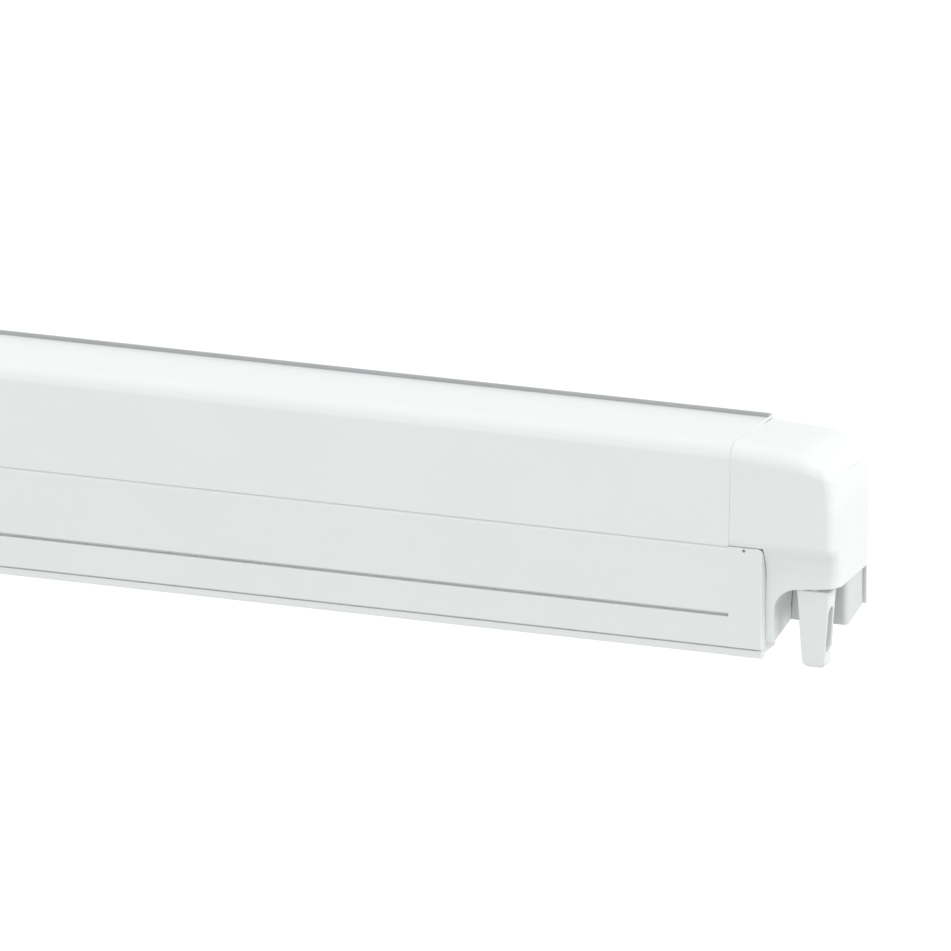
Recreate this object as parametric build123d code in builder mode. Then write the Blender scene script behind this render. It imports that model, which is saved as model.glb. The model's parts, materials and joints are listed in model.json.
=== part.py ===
from build123d import *

import os
from math import asin, copysign, cos, degrees, pi, radians, sin, sqrt, tan

# Roll out awning in a closed case, as it hangs on a wall. Millimetres, +Z up, +X along the case.
# Depth is measured backwards from the front face, height upwards from the bottom of the lead bar's lip.

# Overall sizes
case_length = 4360
case_depth = 90
wall_gap = 8
datum_height = 80
wall = 2
moulded_wall = 2.5
seat_gap = 0.25
running_gap = 0.05
moving_gap = 0.5
overrun = 5
tilt_deg = 8

half_case = case_length / 2
overall_depth = case_depth + wall_gap
tilt = radians(tilt_deg)

# Case section
hood_edge_height = 79.4
hood_lean = 3.6
crown_height = 148.9
hood_rear_height = 148.2
hood_radius = 20
floor_front_depth = 30
floor_front_height = 5
floor_nose = 2
rib_reach = 3.2
rib_lip = 1.5
rib_web = 2.5
upper_rib_height = 112
rib_lip_height = 7
lower_rib_height = 40
lower_rib_depth = 3

# Seals
rain_seal_depth = 80.5
rain_seal_width = 2.5
rain_seal_rise = 2.6
rain_seal_foot = 4
rain_seal_foot_thickness = 1
front_seal_width = 4
front_seal_height = 5

# Wall brackets
bracket_inset = 480
bracket_width = 120
bracket_height = 120
bracket_plate = 4
bracket_hole_pitch = 80
bracket_hole_radius = 3.25
bracket_corner = 6
clamp_screw_radius = 1.2
clamp_head_radius = 1.8
clamp_head_height = 3
clamp_tab_thickness = 5
clamp_tab_gap = 3

# Lead bar section
lead_face_bottom = 6
lead_top = 78.6
lead_corner = 3
lead_wall = 3
lead_head_depth = 13.5
lead_rear_depth = 28
lead_rear_wall = 2
lip_front = 4
channel_front = 6.5
channel_roof = 34
channel_roof_wall = 2.5
rear_wall_bottom = 3
deck_front_height = 57.5
deck_rear_height = 55.5
deck_wall = 2
groove_height = 29.4
groove_width = 2.4
groove_depth = 2
face_chamber_wall = 2.2
face_chamber_bottom = 9
face_chamber_top = 27
head_chamber_bottom = 70
keder_depth = 9
keder_hole_radius = 4.2
keder_radius = 3.7
slit_width = 1.6

# Roller and fabric
roller_depth = 48
roller_height = 106
roller_radius = 30
roller_wall = 1.6
roll_radius = 37
fabric_thickness = 0.55
fabric_end_gap = 40
roll_end_gap = 10
plug_flange = 4
plug_reach = 40
journal_radius = 9
bush_wall = 3
frame_thickness = 8
fabric_half_width = half_case - fabric_end_gap
roll_half_length = fabric_half_width + roll_end_gap
roller_half_length = roll_half_length + roll_end_gap / 2

# Worm drive
worm_teeth = 20
gear_module = 1.9
worm_radius = 7
mesh_gap = 0.45
pressure_angle = radians(20)
tooth_foot = 2.4
wheel_face = 8
worm_reach = 56.5
thread_turns = 4
worm_shaft_radius = 6
drive_flats_radius = 8.9
gear_cavity_gap = 1.5
worm_cavity_gap = 0.6
gear_case_wall = 3
wheel_radius = gear_module * worm_teeth / 2
thread_pitch = pi * gear_module
tooth_half = (thread_pitch / 2 - mesh_gap) / 2

# Crank eye
eye_width = 21
eye_depth = 20
eye_bottom = -8
eye_top = 45
eye_taper_top = 12
eye_tip_depth = 13
eye_tip_width = 15
eye_tip_radius = 5.5
eye_slot_width = 11
eye_slot_bottom = 3
eye_slot_top = 36
eye_corner = 3
eye_neck_radius = 9
eye_neck_height = 3.4
eye_pin_radius = 1

# Case end caps
cap_length = 78.5
cap_slant = 8.5
cap_top = 145.4
cap_drop_deg = 4.2
cap_corner = 8
cap_recess = 8
crease_top = 84
crease_low = 52
crease_curve = [(1.2, 79), (4.2, 73), (6.8, 65)]
shelf_height = 64
lobe_bottom = 10.5
lobe_rise = 6.5
lobe_rise_end = 43
lobe_start = 24.7
lobe_end = 35
arch_height = 50
arch_radius = 18
end_wall_front = 54
end_wall_rear = 47
cap_screw_radius = 2
cap_screw_head = 3.6
cap_screw_head_height = 2.4
frame_flange_length = 22
frame_flange_thickness = 3
frame_flange_bottom = 68
frame_flange_top = 128
cap_screw_low = 76
cap_screw_high = 120

# Lead bar end caps
lead_cap_length = 24
lead_cap_edge = 3
drain_hole_radius = 1.25
drain_hole_inset = 11
drain_hole_depth = 8

# Winch block
block_front = 44
block_bottom = 16.5
block_rise = 3
block_top = 70
block_rear_gap = 2.5

# Folding arms
arm_link = 1280
arm_fold = 36
shoulder_inset = 60
shoulder_depth = 76
shoulder_height = 33.6
arm_width = 22
arm_height = 34
arm_wall = 2
arm_corner = 4
upper_tube_offset = 3
fore_tube_offset = 33
joint_pin_radius = 4
joint_pin_head = 1.5
joint_pin_head_radius = 6
knuckle_radius = 9
elbow_radius = 11
tongue_half = 7.5
ear_inner = 8
ear_outer = 15
plug_length = 30
tube_start = 28
elbow_reach = 34
bracket_base_start = 14
wrist_base_thickness = 3
wrist_base_near = 20
wrist_base_far = 30

# Support legs
leg_inset = 30
leg_depth = 16.25
leg_height = 20
leg_width = 15
leg_rise = 22
leg_wall = 1.5
leg_length = 1180
leg_knuckle_length = 20
leg_pin_radius = 4
collar_width = 18
collar_rise = 26
collar_length = 40
inner_width = 11.4
inner_rise = 18.4
inner_tail = 200
inner_overhang = 70
foot_cheek = 1.6
foot_gap = 0.6
foot_offset = 10.4
foot_thickness = 3
foot_reach = 55
foot_heel = 9
foot_pin_radius = 3
lever_drop = 15.2
lever_thickness = 3
lever_width = 12
lever_length = 48
lever_boss_radius = 2
lever_boss_width = 4
lever_cheek = 2
lever_pin_radius = 1
clip_wall = 1.6
clip_web = 2
clip_length = 28
clip_place_one = 600
clip_place_two = 1060
cheek_bottom = 9

# Worked out from the sizes above
bracket_pitch = half_case - bracket_inset
inner_length = leg_length + inner_overhang - inner_tail
shoulder_x = half_case - shoulder_inset
rest_angle = asin(arm_fold / (2 * arm_link))
elbow_q = arm_link * cos(rest_angle)
elbow_p = arm_fold / 2
leg_x = half_case - leg_inset
leg_tip_x = leg_x - leg_length - inner_overhang
worm_x = half_case + worm_reach
worm_depth = roller_depth - wheel_radius - worm_radius
frame_face = half_case - frame_thickness


def spot(x, depth, height):
    """A point given along the case, backwards from the front and up from the lip."""
    return (x, depth - overall_depth, height - datum_height)


def section(x):
    """The cross-section at x: depth to the right, height up, normal along +X."""
    return Plane(origin=spot(x, 0, 0), x_dir=(0, 1, 0), z_dir=(1, 0, 0))


def front_view(depth):
    """An upright plane at this depth: x to the right, height up, normal to the front."""
    return Plane(origin=spot(0, depth, 0), x_dir=(1, 0, 0), z_dir=(0, -1, 0))


def plan(height):
    """A level plane at this height: x to the right, depth up the page, normal up."""
    return Plane(origin=spot(0, 0, height), x_dir=(1, 0, 0), z_dir=(0, 0, 1))


def hood_surface(depth):
    """Height of the hood's outer face at a depth behind its front corner."""
    slope = (crown_height - hood_rear_height) / (case_depth - hood_lean)
    return hood_rear_height + slope * (case_depth - depth)


def hood_underside(depth):
    """Height of the hood's inner face at a depth."""
    slope = (crown_height - hood_rear_height) / (case_depth - hood_lean)
    return hood_surface(depth) - wall * sqrt(1 + slope**2)


def floor_surface(depth):
    """Height of the floor's underside at a depth."""
    return floor_front_height + (depth - floor_front_depth) * tan(tilt)


def fabric_line(depth):
    """Height of the fabric's middle where it runs off the underside of the roll."""
    reach = roll_radius + seat_gap + fabric_thickness / 2
    tangent_depth = roller_depth + reach * sin(tilt)
    tangent_height = roller_height - reach * cos(tilt)
    return tangent_height + (depth - tangent_depth) * tan(tilt)


def hood_front(height):
    """Depth of the hood's leaning front face at a height."""
    return hood_lean * (height - hood_edge_height) / (crown_height - hood_edge_height)


def cap_screw_places(side):
    """Where the two screws of an end cap sit, seen from the front."""
    x = side * (half_case + frame_flange_length / 2)
    return [(x, height) for height in (cap_screw_low, cap_screw_high)]


def mirrored(piece):
    """The same piece for the left end."""
    with BuildPart() as left:
        mirror(piece.part, about=Plane.YZ)
    return left


# The arms lie in a plane that falls towards the front.
# In it q runs from the shoulder towards the middle and p outwards, away from the wall.
arm_plane = Plane(
    origin=spot(shoulder_x, shoulder_depth, shoulder_height),
    x_dir=(-1, 0, 0),
    z_dir=(0, -sin(tilt), cos(tilt)),
)


def arm_section(q, p):
    """The cross-section of an arm tube at q, with its axis at p."""
    middle = arm_plane.from_local_coords(Vector(q, p, 0))
    return Plane(origin=middle, x_dir=arm_plane.y_dir, z_dir=arm_plane.x_dir)


# Hood, back and floor of the case
with BuildPart() as case_hood:
    with BuildSketch(section(-half_case)):
        with BuildLine():
            FilletPolyline(
                (0, hood_edge_height),
                (hood_lean, crown_height),
                (case_depth, hood_rear_height),
                radius=hood_radius,
            )
            offset(amount=wall, side=Side.RIGHT)
        make_face()
    extrude(amount=case_length)

back_face = case_depth - wall
with BuildPart() as case_back:
    with BuildSketch(section(-half_case)):
        Polygon(
            (back_face, floor_surface(back_face)),
            (case_depth, floor_surface(case_depth)),
            (case_depth, hood_underside(case_depth)),
            (back_face, hood_underside(back_face)),
            align=None,
        )
        with Locations((case_depth, upper_rib_height)):
            Rectangle(rib_reach, rib_web, align=(Align.MIN, Align.MIN))
        with Locations((case_depth + rib_reach - rib_lip, upper_rib_height)):
            Rectangle(rib_lip, rib_lip_height, align=(Align.MIN, Align.MIN))
        with Locations((case_depth, lower_rib_height)):
            Rectangle(lower_rib_depth, rib_lip_height, align=(Align.MIN, Align.MIN))
    extrude(amount=case_length)

with BuildPart() as case_floor:
    with BuildSketch(section(-half_case)):
        Polygon(
            (floor_front_depth, floor_front_height - floor_nose),
            (floor_front_depth + wall, floor_front_height - floor_nose),
            (floor_front_depth + wall, floor_surface(floor_front_depth + wall)),
            (back_face, floor_surface(back_face)),
            (back_face, floor_surface(back_face) + wall),
            (floor_front_depth, floor_front_height + wall),
            align=None,
        )
    extrude(amount=case_length)

with BuildPart() as rain_seal:
    foot_end = rain_seal_depth + rain_seal_foot + rain_seal_width
    blade_end = rain_seal_depth + rain_seal_width
    with BuildSketch(section(-half_case)):
        Polygon(
            (rain_seal_depth, hood_surface(rain_seal_depth)),
            (foot_end, hood_surface(foot_end)),
            (foot_end, hood_surface(foot_end) + rain_seal_foot_thickness),
            (blade_end, hood_surface(blade_end) + rain_seal_foot_thickness),
            (blade_end, hood_surface(blade_end) + rain_seal_rise),
            (rain_seal_depth, hood_surface(rain_seal_depth) + rain_seal_rise),
            align=None,
        )
    extrude(amount=case_length)

with BuildPart() as front_seal:
    seal_back = wall + hood_lean / 2 + seat_gap
    with BuildSketch(section(-half_case)):
        Polygon(
            (wall + seat_gap, hood_edge_height),
            (wall + front_seal_width, hood_edge_height + wall / 2),
            (wall + front_seal_width / 2, hood_edge_height + front_seal_height),
            (seal_back - seat_gap, hood_edge_height + front_seal_height),
            align=None,
        )
    extrude(amount=case_length)

# Wall brackets: a plate with a claw over the upper rib and a tab under the lower one
claw_start = case_depth + seat_gap
claw_end = case_depth + rib_reach - rib_lip - seat_gap
claw_web_bottom = upper_rib_height + rib_lip_height + seat_gap
plate_face = overall_depth - bracket_plate
tab_top = lower_rib_height - clamp_tab_gap
screw_depth = (case_depth + plate_face) / 2


def wall_bracket(x):
    with BuildPart() as bracket:
        with BuildSketch(front_view(overall_depth)):
            with Locations((x, datum_height)):
                RectangleRounded(bracket_width, bracket_height, bracket_corner)
                with GridLocations(bracket_hole_pitch, 0, 2, 1):
                    Circle(bracket_hole_radius, mode=Mode.SUBTRACT)
        extrude(amount=bracket_plate)
        with BuildSketch(section(x - bracket_width / 2)):
            Polygon(
                (plate_face, claw_web_bottom),
                (claw_end, claw_web_bottom),
                (claw_end, upper_rib_height + rib_web + seat_gap),
                (claw_start, upper_rib_height + rib_web + seat_gap),
                (claw_start, claw_web_bottom + rib_web),
                (plate_face, claw_web_bottom + rib_web),
                align=None,
            )
            Polygon(
                (claw_start, tab_top),
                (claw_start, tab_top - clamp_tab_thickness),
                (plate_face, tab_top - clamp_tab_thickness),
                (plate_face, tab_top),
                align=None,
            )
        extrude(amount=bracket_width)
        with BuildSketch(plan(tab_top)):
            with Locations((x, screw_depth)):
                Circle(clamp_screw_radius + running_gap)
        extrude(amount=-clamp_tab_thickness, mode=Mode.SUBTRACT)
    return bracket


wall_bracket_left = wall_bracket(-bracket_pitch)
wall_bracket_centre = wall_bracket(0)
wall_bracket_right = wall_bracket(bracket_pitch)

with BuildPart() as bracket_screws:
    places = [(x, screw_depth) for x in (-bracket_pitch, 0, bracket_pitch)]
    with BuildSketch(plan(lower_rib_height)):
        with Locations(places):
            Circle(clamp_screw_radius)
    extrude(amount=-(clamp_tab_gap + clamp_tab_thickness))
    with BuildSketch(plan(tab_top - clamp_tab_thickness)):
        with Locations(places):
            RegularPolygon(clamp_head_radius, 6)
    extrude(amount=-clamp_head_height)

# Lead bar: face, box head with the keder groove, rear chamber and the open leg channel
slit_half = slit_width / 2
keder_height = fabric_line(keder_depth)


def lead_outline(head_closed):
    """Outline of the lead bar; the end caps close the step behind its head."""
    step = lead_rear_depth if head_closed else lead_head_depth
    step_height = lead_top - lead_corner if head_closed else deck_front_height
    rear_height = lead_top - lead_corner if head_closed else deck_rear_height
    top_depth = lead_rear_depth - lead_corner if head_closed else lead_head_depth
    return [
        (0, lead_face_bottom),
        (0, lead_top),
        (top_depth, lead_top),
        (step, step_height),
        (lead_rear_depth, rear_height),
    ]


with BuildPart() as lead_bar_profile:
    with BuildSketch(section(-half_case)) as lead_section:
        Polygon(
            *lead_outline(False),
            (lead_rear_depth, rear_wall_bottom),
            (lead_rear_depth - lead_rear_wall, rear_wall_bottom),
            (lead_rear_depth - lead_rear_wall, channel_roof),
            (channel_front, channel_roof),
            (channel_front, 0),
            (lip_front, 0),
            (lip_front, lead_face_bottom),
            align=None,
        )
        fillet(lead_section.vertices().group_by(Axis.Y)[-1].sort_by(Axis.X)[0], lead_corner)
        with Locations((0, groove_height)):
            Rectangle(2 * groove_depth, groove_width, mode=Mode.SUBTRACT)
        Polygon(
            (face_chamber_wall, face_chamber_bottom),
            (channel_front - face_chamber_wall, face_chamber_bottom),
            (channel_front - face_chamber_wall, face_chamber_top),
            (face_chamber_wall, face_chamber_top),
            align=None,
            mode=Mode.SUBTRACT,
        )
        Polygon(
            (lead_wall, head_chamber_bottom),
            (lead_head_depth - lead_rear_wall, head_chamber_bottom),
            (lead_head_depth - lead_rear_wall, lead_top - lead_wall),
            (lead_wall, lead_top - lead_wall),
            align=None,
            mode=Mode.SUBTRACT,
        )
        Polygon(
            (lead_wall, channel_roof + channel_roof_wall),
            (lead_rear_depth - lead_rear_wall, channel_roof + channel_roof_wall),
            (lead_rear_depth - lead_rear_wall, deck_rear_height - deck_wall),
            (lead_head_depth, deck_front_height - deck_wall),
            (lead_wall, deck_front_height - deck_wall),
            align=None,
            mode=Mode.SUBTRACT,
        )
        with Locations((keder_depth, keder_height)):
            Circle(keder_hole_radius, mode=Mode.SUBTRACT)
        Polygon(
            (keder_depth, keder_height - slit_half),
            (lead_head_depth + overrun, fabric_line(lead_head_depth + overrun) - slit_half),
            (lead_head_depth + overrun, fabric_line(lead_head_depth + overrun) + slit_half),
            (keder_depth, keder_height + slit_half),
            align=None,
            mode=Mode.SUBTRACT,
        )
    extrude(amount=case_length)

with BuildPart() as fabric_keder:
    with BuildSketch(section(-fabric_half_width)):
        with Locations((keder_depth, keder_height)):
            Circle(keder_radius)
        Polygon(
            (keder_depth, keder_height - fabric_thickness / 2),
            (lead_head_depth, fabric_line(lead_head_depth) - fabric_thickness / 2),
            (lead_head_depth, fabric_line(lead_head_depth) + fabric_thickness / 2),
            (keder_depth, keder_height + fabric_thickness / 2),
            align=None,
        )
    extrude(amount=2 * fabric_half_width)

# Lead bar end cap: the closed outline, with rounded outer edges and a drain hole in its top
with BuildPart() as lead_bar_cap_right:
    with BuildSketch(section(half_case)) as cap_section:
        Polygon(
            *lead_outline(True),
            (lead_rear_depth, rear_wall_bottom),
            (lip_front, rear_wall_bottom),
            (lip_front, lead_face_bottom),
            align=None,
        )
        fillet(cap_section.vertices().group_by(Axis.Y)[-1].sort_by(Axis.X)[0], lead_corner)
        with Locations((lip_front, 0)):
            Rectangle(channel_front - lip_front, lead_face_bottom, align=(Align.MIN, Align.MIN))
    extrude(amount=lead_cap_length)
    outer_face = lead_bar_cap_right.faces().sort_by(Axis.X)[-1]
    tall_edges = outer_face.edges().filter_by(Axis.Z).group_by(Axis.Y)[0]
    chamfer(tall_edges, lead_cap_edge)
    with BuildSketch(plan(lead_top)):
        with Locations((half_case + drain_hole_inset, lead_corner + drain_hole_radius)):
            Circle(drain_hole_radius)
    extrude(amount=-drain_hole_depth, mode=Mode.SUBTRACT)
lead_bar_cap_left = mirrored(lead_bar_cap_right)

# Case end frame: closes the end of the profiles, carries the bush and holds the cap by a flange
upper_front = wall + hood_lean
frame_top = hood_underside(case_depth) - seat_gap
frame_rear = case_depth - wall - seat_gap
frame_low = floor_surface(frame_rear) + wall + seat_gap
frame_nose = floor_front_depth + wall
with BuildPart() as end_frame_right:
    with BuildSketch(section(frame_face)) as frame_section:
        Polygon(
            (frame_nose, floor_surface(frame_nose) + wall + seat_gap),
            (frame_rear, frame_low),
            (frame_rear, frame_top),
            (upper_front, frame_top),
            (upper_front, hood_edge_height + front_seal_height + seat_gap),
            (frame_nose, hood_edge_height + front_seal_height + seat_gap),
            align=None,
        )
        fillet(frame_section.vertices().group_by(Axis.Y)[-1].sort_by(Axis.X)[0], hood_radius)
        with Locations((roller_depth, roller_height)):
            Circle(journal_radius + bush_wall, mode=Mode.SUBTRACT)
    extrude(amount=frame_thickness)
    with BuildSketch(section(half_case)):
        with Locations((back_face - seat_gap, frame_flange_bottom)):
            Rectangle(
                frame_flange_thickness,
                frame_flange_top - frame_flange_bottom,
                align=(Align.MAX, Align.MIN),
            )
    extrude(amount=frame_flange_length)
    with BuildSketch(front_view(case_depth)):
        with Locations(*cap_screw_places(1)):
            Circle(cap_screw_radius)
    extrude(amount=2 * wall + seat_gap + frame_flange_thickness, mode=Mode.SUBTRACT)
end_frame_left = mirrored(end_frame_right)

with BuildPart() as roller_bearings:
    for plane in (section(frame_face), section(-half_case)):
        with BuildSketch(plane):
            with Locations((roller_depth, roller_height)):
                Circle(journal_radius + bush_wall)
                Circle(journal_radius + running_gap, mode=Mode.SUBTRACT)
        extrude(amount=frame_thickness)

# Roller: tube, end plugs with journals, the wound fabric and the worm wheel on the right journal
with BuildPart() as roller_tube:
    with BuildSketch(section(-roller_half_length)):
        with Locations((roller_depth, roller_height)):
            Circle(roller_radius)
            Circle(roller_radius - roller_wall, mode=Mode.SUBTRACT)
    extrude(amount=2 * roller_half_length)

with BuildPart() as fabric_roll:
    with BuildSketch(section(-roll_half_length)):
        with Locations((roller_depth, roller_height)):
            Circle(roll_radius)
            Circle(roller_radius, mode=Mode.SUBTRACT)
    extrude(amount=2 * roll_half_length)

plug_inner = roller_radius - roller_wall - running_gap


def roller_plug(journal_end):
    """Plug for the right end of the roller, with its journal running out to journal_end."""
    with BuildPart() as plug:
        with BuildSketch(section(roller_half_length)):
            with Locations((roller_depth, roller_height)):
                Circle(roller_radius)
        extrude(amount=plug_flange)
        with BuildSketch(section(roller_half_length)):
            with Locations((roller_depth, roller_height)):
                Circle(plug_inner)
        extrude(amount=-plug_reach)
        with BuildSketch(section(roller_half_length)):
            with Locations((roller_depth, roller_height)):
                Circle(journal_radius)
        extrude(amount=journal_end - roller_half_length)
    return plug


wheel_start = worm_x - wheel_face / 2
wheel_end = worm_x + wheel_face / 2
with BuildPart() as roller_plug_right:
    add(roller_plug(wheel_start - moving_gap).part)
    with BuildSketch(section(wheel_start - moving_gap)):
        with Locations((roller_depth, roller_height)):
            RegularPolygon(drive_flats_radius, 6)
    extrude(amount=wheel_face + 2 * moving_gap)
roller_plug_left = mirrored(roller_plug(half_case + frame_thickness / 2))

wheel_tip = wheel_radius + gear_module
wheel_root = wheel_radius - tooth_foot
tip_half = tooth_half - gear_module * tan(pressure_angle)
root_half = tooth_half + tooth_foot * tan(pressure_angle)
wheel_twist = degrees(wheel_face * thread_pitch / (2 * pi * worm_radius) / wheel_radius)


def wheel_profile(turn_deg):
    """The toothed outline, with a gap facing the worm when the turn is zero."""
    half_step = 180 / worm_teeth
    with Locations(Location((roller_depth, roller_height, 0), (0, 0, 180 + turn_deg + half_step))):
        Circle(wheel_root)
        with PolarLocations(0, worm_teeth):
            Polygon(
                (wheel_root - tooth_half / 2, -root_half),
                (wheel_tip, -tip_half),
                (wheel_tip, tip_half),
                (wheel_root - tooth_half / 2, root_half),
                align=None,
            )


with BuildPart() as worm_wheel:
    with BuildSketch(section(wheel_start)):
        wheel_profile(-wheel_twist / 2)
    with BuildSketch(section(wheel_end)):
        wheel_profile(wheel_twist / 2)
    loft(ruled=True)
    with BuildSketch(section(wheel_start - moving_gap)):
        with Locations((roller_depth, roller_height)):
            RegularPolygon(drive_flats_radius + running_gap, 6)
    extrude(amount=wheel_face + 2 * moving_gap, mode=Mode.SUBTRACT)

# Worm: thread on a shaft that comes down through the arch to the crank eye
worm_root = worm_radius - tooth_foot
thread_length = thread_turns * thread_pitch
worm_tip = worm_radius + gear_module
worm_bottom = roller_height - thread_length / 2 - thread_pitch / 4
thread_base = worm_root - tooth_half / 2
with BuildPart() as worm_shaft:
    with BuildLine(Plane(origin=spot(worm_x, worm_depth, worm_bottom))) as thread_path:
        Helix(thread_pitch, thread_length, worm_radius)
    thread_foot = thread_path.line @ 0
    with BuildSketch(Plane(origin=thread_foot, x_dir=(1, 0, 0), z_dir=thread_path.line % 0)):
        Polygon(
            (thread_base - worm_radius, -root_half),
            (gear_module, -tip_half),
            (gear_module, tip_half),
            (thread_base - worm_radius, root_half),
            align=None,
        )
    sweep(path=thread_path.line, is_frenet=True)
    with BuildSketch(plan(worm_bottom - gear_module)):
        with Locations((worm_x, worm_depth)):
            Circle(worm_root)
    extrude(amount=thread_length + 2 * gear_module)
    with BuildSketch(plan(worm_bottom - gear_module)):
        with Locations((worm_x, worm_depth)):
            Circle(worm_shaft_radius)
    extrude(amount=-(worm_bottom - gear_module - eye_top))

# Crank eye: a slotted tongue that hangs from the shaft
with BuildPart() as crank_eye:
    with BuildSketch(section(worm_x - eye_width / 2)) as eye_outline:
        Polygon(
            (worm_depth - eye_depth / 2, eye_top),
            (worm_depth - eye_depth / 2, eye_taper_top),
            (worm_depth - eye_tip_depth / 2, eye_bottom),
            (worm_depth + eye_tip_depth / 2, eye_bottom),
            (worm_depth + eye_depth / 2, eye_taper_top),
            (worm_depth + eye_depth / 2, eye_top),
            align=None,
        )
        fillet(eye_outline.vertices().group_by(Axis.Y)[0], eye_tip_radius)
        with Locations((worm_depth, (eye_slot_bottom + eye_slot_top) / 2)):
            SlotOverall(
                eye_slot_top - eye_slot_bottom, eye_slot_width, rotation=90, mode=Mode.SUBTRACT
            )
    extrude(amount=eye_width)
    with BuildSketch(front_view(worm_depth + eye_depth)) as eye_front:
        Polygon(
            (worm_x - eye_width / 2, eye_top),
            (worm_x - eye_tip_width / 2, eye_bottom),
            (worm_x + eye_tip_width / 2, eye_bottom),
            (worm_x + eye_width / 2, eye_top),
            align=None,
        )
        fillet(eye_front.vertices().group_by(Axis.Y)[0], eye_corner)
    extrude(amount=2 * eye_depth, mode=Mode.INTERSECT)
    with BuildSketch(plan(eye_top)):
        with Locations((worm_x, worm_depth)):
            Circle(eye_neck_radius)
            Circle(worm_shaft_radius, mode=Mode.SUBTRACT)
    extrude(amount=eye_neck_height)
    with BuildSketch(section(worm_x - eye_width / 2)):
        with Locations((worm_depth, eye_top + eye_neck_height / 2)):
            Circle(eye_pin_radius)
    extrude(amount=eye_width, mode=Mode.SUBTRACT)

with BuildPart() as eye_pin:
    with BuildSketch(section(worm_x + worm_shaft_radius)):
        with Locations((worm_depth, eye_top + eye_neck_height / 2)):
            Circle(eye_pin_radius)
    extrude(amount=eye_neck_radius - worm_shaft_radius)

# Winch housing: gear case round the worm and the wheel, and the block that shows behind the arch
end_normal = Vector(case_depth, cap_slant, 0).normalized()


def cap_end(inset):
    """The slanting plane of a cap's end face, moved inwards."""
    corner = Vector(*spot(half_case + cap_length, 0, 0))
    return Plane(origin=corner - end_normal * inset, z_dir=end_normal)


cavity_wheel = wheel_tip + gear_cavity_gap
cavity_worm = worm_tip + worm_cavity_gap
gear_start = wheel_start - gear_cavity_gap - gear_case_wall
gear_end = wheel_end + gear_cavity_gap + gear_case_wall
gear_low = worm_bottom - gear_module - gear_case_wall - moving_gap
gear_high = roller_height + cavity_wheel + gear_case_wall / 2
gear_rear = roller_depth + cavity_wheel + gear_case_wall
with BuildPart() as winch_housing:
    with BuildSketch(section(gear_start)):
        with Locations((worm_depth - cavity_worm - gear_case_wall / 2, gear_low)):
            Rectangle(
                gear_rear - worm_depth + cavity_worm + gear_case_wall / 2,
                gear_high - gear_low,
                align=(Align.MIN, Align.MIN),
            )
        with Locations((block_front, block_top - overrun)):
            Rectangle(
                gear_rear - block_front, gear_low - block_top + 2 * overrun, align=(Align.MIN, Align.MIN)
            )
    extrude(amount=gear_end - gear_start)
    with BuildSketch(section(wheel_start - gear_cavity_gap)):
        with Locations((roller_depth, roller_height)):
            Circle(cavity_wheel)
    extrude(amount=wheel_face + 2 * gear_cavity_gap, mode=Mode.SUBTRACT)
    with BuildSketch(section(gear_start)):
        with Locations((roller_depth, roller_height)):
            Circle(journal_radius + running_gap)
    extrude(amount=gear_case_wall + gear_cavity_gap, mode=Mode.SUBTRACT)
    with BuildSketch(plan(worm_bottom - gear_module - moving_gap)):
        with Locations((worm_x, worm_depth)):
            Circle(cavity_worm)
    extrude(amount=thread_length + 2 * gear_module + 2 * moving_gap, mode=Mode.SUBTRACT)
    with BuildSketch(plan(gear_low)):
        with Locations((worm_x, worm_depth)):
            Circle(worm_shaft_radius + running_gap)
    extrude(amount=gear_case_wall + moving_gap, mode=Mode.SUBTRACT)
    with BuildSketch(section(half_case)):
        Polygon(
            (block_front, block_bottom),
            (back_face - block_rear_gap, block_bottom + block_rise),
            (back_face - block_rear_gap, block_top - overrun),
            (block_front, block_top - overrun),
            align=None,
        )
    extrude(amount=cap_length)
    split(bisect_by=cap_end(moulded_wall + seat_gap), keep=Keep.BOTTOM)

# Case end caps: a moulded shell drawn in below the crease; the right one is open at the arch
def cap_outline(x, drop):
    """The cap's section at x with its top lowered by drop, its lower part set back and its bottom rising."""
    with BuildSketch(section(half_case + x)) as outline:
        with BuildLine():
            Polyline(
                (cap_recess, crease_low),
                (cap_recess, lobe_bottom),
                (lobe_rise_end, lobe_bottom + lobe_rise),
                (case_depth, block_bottom + block_rise),
                (case_depth, cap_top - drop),
                (hood_front(cap_top - drop), cap_top - drop),
                (hood_front(crease_top), crease_top),
            )
            Spline(
                (hood_front(crease_top), crease_top),
                *crease_curve,
                (cap_recess, crease_low),
                tangents=[(0, -1), (0, -1)],
            )
        make_face()
        fillet(outline.vertices().group_by(Axis.Y)[-1].sort_by(Axis.X)[0], hood_radius)
    return outline.sketch


def cap_blank():
    """A right-hand cap before it is hollowed, with the rim of its end face rounded."""
    drop = cap_length * tan(radians(cap_drop_deg))
    with BuildPart() as blank:
        loft(sections=[cap_outline(0, 0), cap_outline(cap_length, drop)], ruled=True)
        split(bisect_by=cap_end(0), keep=Keep.BOTTOM)
        rim = blank.faces().sort_by(Axis.X)[-1].edges()
        rear = rim.group_by(Axis.Y)[-1]
        bottom = rim.filter_by(lambda e: e.center().Z < spot(0, 0, block_bottom + block_rise)[2])
        fillet([e for e in rim if e not in rear and e not in bottom], cap_corner)
    return blank


cap_rear = case_depth - wall
cap_inner_top = cap_top - moulded_wall - cap_corner


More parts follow.
